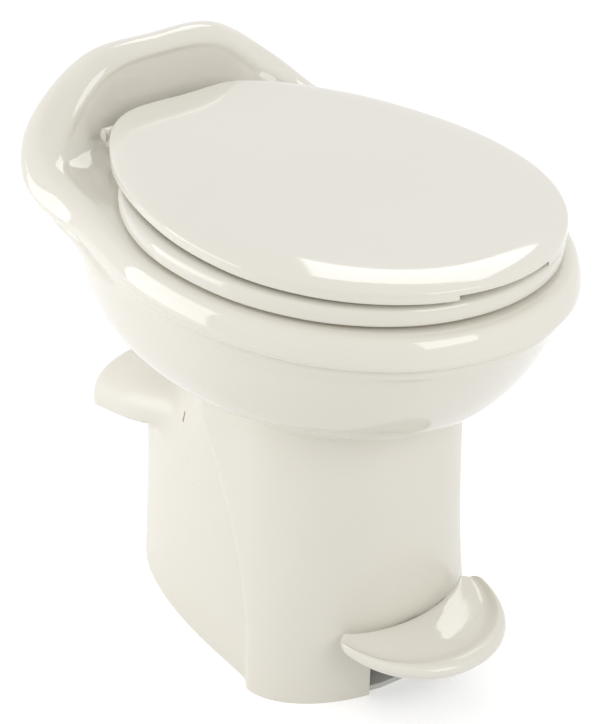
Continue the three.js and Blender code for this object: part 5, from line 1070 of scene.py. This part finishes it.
def tone_group():
    """Slow drift between two near colours."""
    group, given, out = new_group("tone drift", [
        ("Tone", "NodeSocketColor", (0.8, 0.8, 0.8, 1)),
        ("Shade", "NodeSocketColor", (0.7, 0.7, 0.7, 1)),
        ("Scale", "NodeSocketFloat", 6.0),
    ], [("Color", "NodeSocketColor")])
    drift = noise(group, given.outputs["Scale"], 4.0, 0.55)
    spread = add(group, "ShaderNodeMapRange", [("Value", drift.outputs["Fac"])],
                 From_Min=0.3, From_Max=0.7)
    blend = add(group, "ShaderNodeMix", data_type="RGBA")
    group.links.new(spread.outputs["Result"], blend.inputs["Factor"])
    group.links.new(given.outputs["Tone"], blend.inputs[6])
    group.links.new(given.outputs["Shade"], blend.inputs[7])
    group.links.new(blend.outputs[2], out.inputs["Color"])
    return group


def gloss_group():
    """Roughness that wanders between two values, as wiped and handled surfaces do."""
    group, given, out = new_group("gloss drift", [
        ("Low", "NodeSocketFloat", 0.1),
        ("High", "NodeSocketFloat", 0.2),
        ("Scale", "NodeSocketFloat", 12.0),
    ], [("Value", "NodeSocketFloat")])
    wander = noise(group, given.outputs["Scale"], 6.0, 0.6)
    spread = add(group, "ShaderNodeMapRange", [
        ("Value", wander.outputs["Fac"]), ("To Min", given.outputs["Low"]),
        ("To Max", given.outputs["High"])], From_Min=0.3, From_Max=0.7)
    group.links.new(spread.outputs["Result"], out.inputs["Value"])
    return group


def grain_group():
    """Height of a moulded or cast skin: a fine pebble over a slower wave."""
    group, given, out = new_group("skin grain", [
        ("Pebble", "NodeSocketFloat", 900.0),
        ("Wave", "NodeSocketFloat", 30.0),
        ("Wave share", "NodeSocketFloat", 0.5),
    ], [("Height", "NodeSocketFloat")])
    pebble = noise(group, given.outputs["Pebble"], 2.0)
    wave = noise(group, given.outputs["Wave"], 1.0)
    blend = add(group, "ShaderNodeMix", data_type="FLOAT")
    group.links.new(given.outputs["Wave share"], blend.inputs["Factor"])
    group.links.new(pebble.outputs["Fac"], blend.inputs[2])
    group.links.new(wave.outputs["Fac"], blend.inputs[3])
    group.links.new(blend.outputs[0], out.inputs["Height"])
    return group


def wear_group():
    """Mask of edges that hands and tools have rubbed: raised pointiness broken by noise."""
    group, given, out = new_group("edge wear", [
        ("Reach", "NodeSocketFloat", 0.56),
        ("Scale", "NodeSocketFloat", 90.0),
    ], [("Mask", "NodeSocketFloat")])
    shape = add(group, "ShaderNodeNewGeometry")
    breaks = noise(group, given.outputs["Scale"], 3.0)
    edge = add(group, "ShaderNodeMapRange", [
        ("Value", shape.outputs["Pointiness"]), ("From Min", given.outputs["Reach"])],
        From_Max=0.7)
    broken = add(group, "ShaderNodeMath", [
        (0, edge.outputs["Result"]), (1, breaks.outputs["Fac"])], operation="MULTIPLY")
    group.links.new(broken.outputs[0], out.inputs["Mask"])
    return group


def place_group(tree, name, make, **values):
    """Node of a shared group, which is made when it is first asked for, with its values."""
    made = tree.nodes.new("ShaderNodeGroup")
    made.node_tree = bpy.data.node_groups.get(name) or make()
    for label, value in values.items():
        made.inputs[label.replace("_", " ")].default_value = value
    return made


def rgba(values):
    """Opaque colour of a socket from three values."""
    return (*values, 1.0)


def cleared_tree(holder):
    """Node tree of a new material or world, without the nodes that it comes with."""
    holder.use_nodes = True
    holder.node_tree.nodes.clear()
    return holder.node_tree


# Slot: names of tone and shade, roughness from and to, grain as scale of the pebble, scale of
# the wave and share of the wave, bump strength, metal, coat
FINISHES = {
    "glazed_bowl": ("glaze", "glaze_shade", 0.045, 0.085, (260, 22, 0.75), 0.020, 0, 0.35),
    "moulded_shell": ("moulding", "moulding_shade", 0.27, 0.36, (1500, 40, 0.25), 0.030, 0, 0.10),
    "seat_plastic": ("seat", "seat_shade", 0.055, 0.10, (400, 26, 0.7), 0.012, 0, 0.30),
    "white_plastic": ("white", "white", 0.36, 0.46, (1400, 60, 0.3), 0.05, 0, 0),
    "grey_plastic": ("grey", "grey", 0.42, 0.52, (1300, 60, 0.3), 0.06, 0, 0),
    "dark_plastic": ("dark", "dark", 0.44, 0.58, (1200, 80, 0.4), 0.09, 0, 0),
    "black_rubber": ("rubber", "rubber", 0.72, 0.86, (1600, 90, 0.5), 0.12, 0, 0),
    "hose_plastic": ("hose", "hose", 0.34, 0.46, (700, 120, 0.5), 0.05, 0, 0),
    "steel": ("steel", "steel", 0.22, 0.36, (900, 200, 0.4), 0.03, 1, 0),
    "brass": ("brass", "brass", 0.24, 0.38, (800, 180, 0.4), 0.03, 1, 0),
}
# Scales of the drifts of tone on glossy and on matt finishes, and of gloss
GLOSSY_TONE_SCALE = 5.0
MATT_TONE_SCALE = 40.0
GLOSS_SCALE = 14.0
# Shade of a finish that has one colour only, and tone of worn edges, as shares of the colour
SHADE_SHARE = 0.9
WORN_SHARE = 1.12
COAT_ROUGHNESS = 0.03


def finish(slot_name):
    """Procedural material of a slot: drifting tone, drifting gloss, grain and edge wear."""
    known = bpy.data.materials.get(f"finish_{slot_name}")
    if known:
        return known
    tone, shade, low, high, grain, bump, metal, coat = FINISHES[slot_name]
    colours = bpy.context.scene.toilet_finish
    base = np.array(getattr(colours, tone))
    dark = np.array(getattr(colours, shade)) * (1 if tone != shade else SHADE_SHARE)
    material = bpy.data.materials.new(f"finish_{slot_name}")
    tree = cleared_tree(material)
    out = tree.nodes.new("ShaderNodeOutputMaterial")
    shader = tree.nodes.new("ShaderNodeBsdfPrincipled")
    drift = place_group(tree, "tone drift", tone_group, Tone=rgba(base), Shade=rgba(dark),
                        Scale=GLOSSY_TONE_SCALE if coat else MATT_TONE_SCALE)
    gloss = place_group(tree, "gloss drift", gloss_group, Low=low, High=high, Scale=GLOSS_SCALE)
    pebble, wave, wave_share = grain
    skin = place_group(tree, "skin grain", grain_group, Pebble=pebble, Wave=wave,
                       Wave_share=wave_share)
    wear = place_group(tree, "edge wear", wear_group)
    worn = add(tree, "ShaderNodeMix", data_type="RGBA")
    tree.links.new(wear.outputs["Mask"], worn.inputs["Factor"])
    tree.links.new(drift.outputs["Color"], worn.inputs[6])
    worn.inputs[7].default_value = rgba(np.minimum(base * WORN_SHARE + 0.01, 0.95))
    tree.links.new(worn.outputs[2], shader.inputs["Base Color"])
    tree.links.new(gloss.outputs["Value"], shader.inputs["Roughness"])
    relief = add(tree, "ShaderNodeBump", Strength=bump, Distance=MM)
    tree.links.new(skin.outputs["Height"], relief.inputs["Height"])
    tree.links.new(relief.outputs["Normal"], shader.inputs["Normal"])
    shader.inputs["Metallic"].default_value = metal
    shader.inputs["Coat Weight"].default_value = coat
    shader.inputs["Coat Roughness"].default_value = COAT_ROUGHNESS
    tree.links.new(shader.outputs["BSDF"], out.inputs["Surface"])
    return material


def both_sides(name):
    """Names of a pair of CAD nodes."""
    return [f"{name}_left", f"{name}_right"]


def numbered(name, count):
    """Names of a row of like CAD nodes."""
    return [f"{name}_{k}" for k in range(1, count + 1)]


# CAD nodes that show as they are, under the slot that gives their finish
DRESSED = {
    "white_plastic": ["water_valve_body", "breaker_body", "rod_guide", "rim_spud", "flush_blade",
                      *both_sides("shaft_bush"), *both_sides("hinge_post"), "pedal_lever",
                      "base_plate"],
    "grey_plastic": ["valve_lower_housing", "valve_upper_housing", "drain_horn"],
    "dark_plastic": ["breaker_cap", "spud_nut", "inlet_nut"],
    "black_rubber": ["floor_seal", "blade_seal", "bowl_seal", "breaker_float",
                     *numbered("seat_bumper", 4), *numbered("lid_bumper", 2)],
    "hose_plastic": ["valve_hose", "bowl_hose"],
    "seat_plastic": both_sides("hinge_pin"),
    "steel": ["return_spring", *both_sides("hinge_nut"), *numbered("bowl_bolt", 4),
              *numbered("housing_bolt", 4), *both_sides("closet_bolt"),
              *both_sides("closet_nut"), *numbered("pedal_screw", 2), "pedal_shaft",
              "shaft_clip", "valve_pull_rod"],
    "brass": ["valve_stem", "inlet_tail"],
}


class TOILET_OT_fittings(bpy.types.Operator):
    """Finishes of the valve, hoses, hinges, lever, fasteners and seals"""
    bl_idname = "toilet.fittings"
    bl_label = "Fittings"

    def execute(self, context):
        for slot_name, names in DRESSED.items():
            for name in names:
                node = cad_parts[name]
                if not node.material_slots:
                    node.data.materials.append(None)
                for slot in node.material_slots:
                    slot.material = finish(slot_name)
        missing = [name for name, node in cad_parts.items()
                   if not node.hide_render and name not in sum(DRESSED.values(), [])]
        if missing:
            raise RuntimeError(f"no finish for {missing}")
        return {"FINISHED"}


def view_axes(p):
    """Back and right of the camera: back is (sin h cos l, -cos h cos l, sin l) and right is
    (cos h, sin h, 0) for heading h and lift l."""
    h, l = p.heading, p.lift
    back = np.array([np.sin(h) * np.cos(l), -np.cos(h) * np.cos(l), np.sin(l)])
    return back, np.array([np.cos(h), np.sin(h), 0])


def softbox(name, place, target, size, strength):
    """Area lamp that faces the target. Its power is pi times area times strength."""
    data = bpy.data.lights.new(name, "AREA")
    data.shape = "RECTANGLE"
    data.size, data.size_y = size
    data.energy = float(np.pi * size[0] * size[1] * strength)
    lamp = bpy.data.objects.new(name, data)
    bpy.context.scene.collection.objects.link(lamp)
    lamp.location = place
    lamp.rotation_euler = (Vector(place) - Vector(target)).to_track_quat("Z", "Y").to_euler()


def camera_or_glossy(tree, path):
    """1 for the rays of the camera and of glossy reflections, and 0 for others."""
    return add(tree, "ShaderNodeMath", [(0, path.outputs["Is Camera Ray"]),
                                        (1, path.outputs["Is Glossy Ray"])], operation="MAXIMUM")


def floor_material(p):
    """Pale floor. For the camera a little light is added, so that it meets the backdrop."""
    material = bpy.data.materials.new("studio_floor")
    tree = cleared_tree(material)
    tint = np.array(p.floor)
    out = tree.nodes.new("ShaderNodeOutputMaterial")
    matt = tree.nodes.new("ShaderNodeBsdfDiffuse")
    drift = place_group(tree, "tone drift", tone_group, Tone=rgba(tint),
                        Shade=rgba(tint * 0.99), Scale=3.0)
    tree.links.new(drift.outputs["Color"], matt.inputs["Color"])
    rays = camera_or_glossy(tree, tree.nodes.new("ShaderNodeLightPath"))
    lift = add(tree, "ShaderNodeMath", [(0, rays.outputs[0])], operation="MULTIPLY")
    lift.inputs[1].default_value = p.floor_lift
    glow = add(tree, "ShaderNodeEmission", [("Strength", lift.outputs[0])])
    both = add(tree, "ShaderNodeAddShader", [(0, matt.outputs[0]), (1, glow.outputs[0])])
    tree.links.new(both.outputs[0], out.inputs["Surface"])
    return material


def studio_world(p):
    """White where the camera, glossy or transmission rays meet it, dimmer as a light."""
    world = bpy.data.worlds.new("studio")
    tree = cleared_tree(world)
    out = tree.nodes.new("ShaderNodeOutputWorld")
    shade = add(tree, "ShaderNodeBackground", Color=(1, 1, 1, 1))
    path = tree.nodes.new("ShaderNodeLightPath")
    seen = camera_or_glossy(tree, path)
    through = add(tree, "ShaderNodeMath", [(0, seen.outputs[0]),
                                           (1, path.outputs["Is Transmission Ray"])],
                  operation="MAXIMUM")
    strength = add(tree, "ShaderNodeMapRange", [("Value", through.outputs[0])],
                   To_Min=p.sky, To_Max=1.0)
    tree.links.new(strength.outputs["Result"], shade.inputs["Strength"])
    tree.links.new(shade.outputs[0], out.inputs["Surface"])
    return world


class TOILET_OT_stage(bpy.types.Operator):
    """Pale floor, soft studio light, white surroundings and the camera"""
    bl_idname = "toilet.stage"
    bl_label = "Stage"

    def execute(self, context):
        scene = context.scene
        p = scene.toilet_studio
        scene.view_settings.view_transform = "Standard"
        reach = p.floor_reach
        corners = [(-reach, -reach, 0), (reach, -reach, 0), (reach, reach, 0), (-reach, reach, 0)]
        mesh = bpy.data.meshes.new("floor")
        mesh.from_pydata(corners, [], [(0, 1, 2, 3)])
        mesh.materials.append(floor_material(p))
        floor = bpy.data.objects.new("floor", mesh)
        scene.collection.objects.link(floor)
        scene.world = studio_world(p)
        back, right = view_axes(p)
        target = np.array(p.target)
        flat = back * [1, 1, 0] / np.linalg.norm(back[:2])
        for name, (steps, size, strength) in SOFTBOXES.items():
            place = target + np.array(steps) @ np.array([flat, right, [0, 0, 1]])
            softbox(name, place, target, size, strength)
        data = bpy.data.cameras.new("camera")
        data.lens = p.lens
        data.sensor_width = 36
        data.clip_start = 0.05
        camera = bpy.data.objects.new("camera", data)
        scene.collection.objects.link(camera)
        camera.location = target + back * p.distance
        camera.rotation_euler = Vector(back).to_track_quat("Z", "Y").to_euler()
        scene.camera = camera
        return {"FINISHED"}


OPERATORS = (TOILET_OT_bowl, TOILET_OT_pedestal, TOILET_OT_seat, TOILET_OT_lid,
             TOILET_OT_pedal, TOILET_OT_fittings, TOILET_OT_stage)
GROUPS = {
    "toilet_bowl": BowlSizes,
    "toilet_pedestal": PedestalSizes,
    "toilet_seat": SeatSizes,
    "toilet_pedal": PedalSizes,
    "toilet_finish": FinishColours,
    "toilet_studio": StudioSizes,
}


class TOILET_PT_panel(bpy.types.Panel):
    """Sizes, colours and the pieces of the toilet"""
    bl_label = "Toilet"
    bl_idname = "TOILET_PT_panel"
    bl_space_type = "VIEW_3D"
    bl_region_type = "UI"
    bl_category = "Toilet"

    def draw(self, context):
        for kind in OPERATORS:
            self.layout.operator(kind.bl_idname)
        for name, kind in GROUPS.items():
            box = self.layout.box()
            box.label(text=kind.__doc__)
            for label in kind.__annotations__:
                box.prop(getattr(context.scene, name), label)


def register():
    for kind in (*GROUPS.values(), *OPERATORS, TOILET_PT_panel):
        bpy.utils.register_class(kind)
    for name, kind in GROUPS.items():
        setattr(bpy.types.Scene, name, PointerProperty(type=kind))


def unregister():
    for name in GROUPS:
        delattr(bpy.types.Scene, name)
    for kind in reversed((*GROUPS.values(), *OPERATORS, TOILET_PT_panel)):
        bpy.utils.unregister_class(kind)


def main():
    register()
    bpy.ops.toilet.bowl()
    bpy.ops.toilet.pedestal()
    bpy.ops.toilet.seat()
    bpy.ops.toilet.lid()
    bpy.ops.toilet.pedal()
    bpy.ops.toilet.fittings()
    bpy.ops.toilet.stage()


if __name__ == "__main__":
    main()
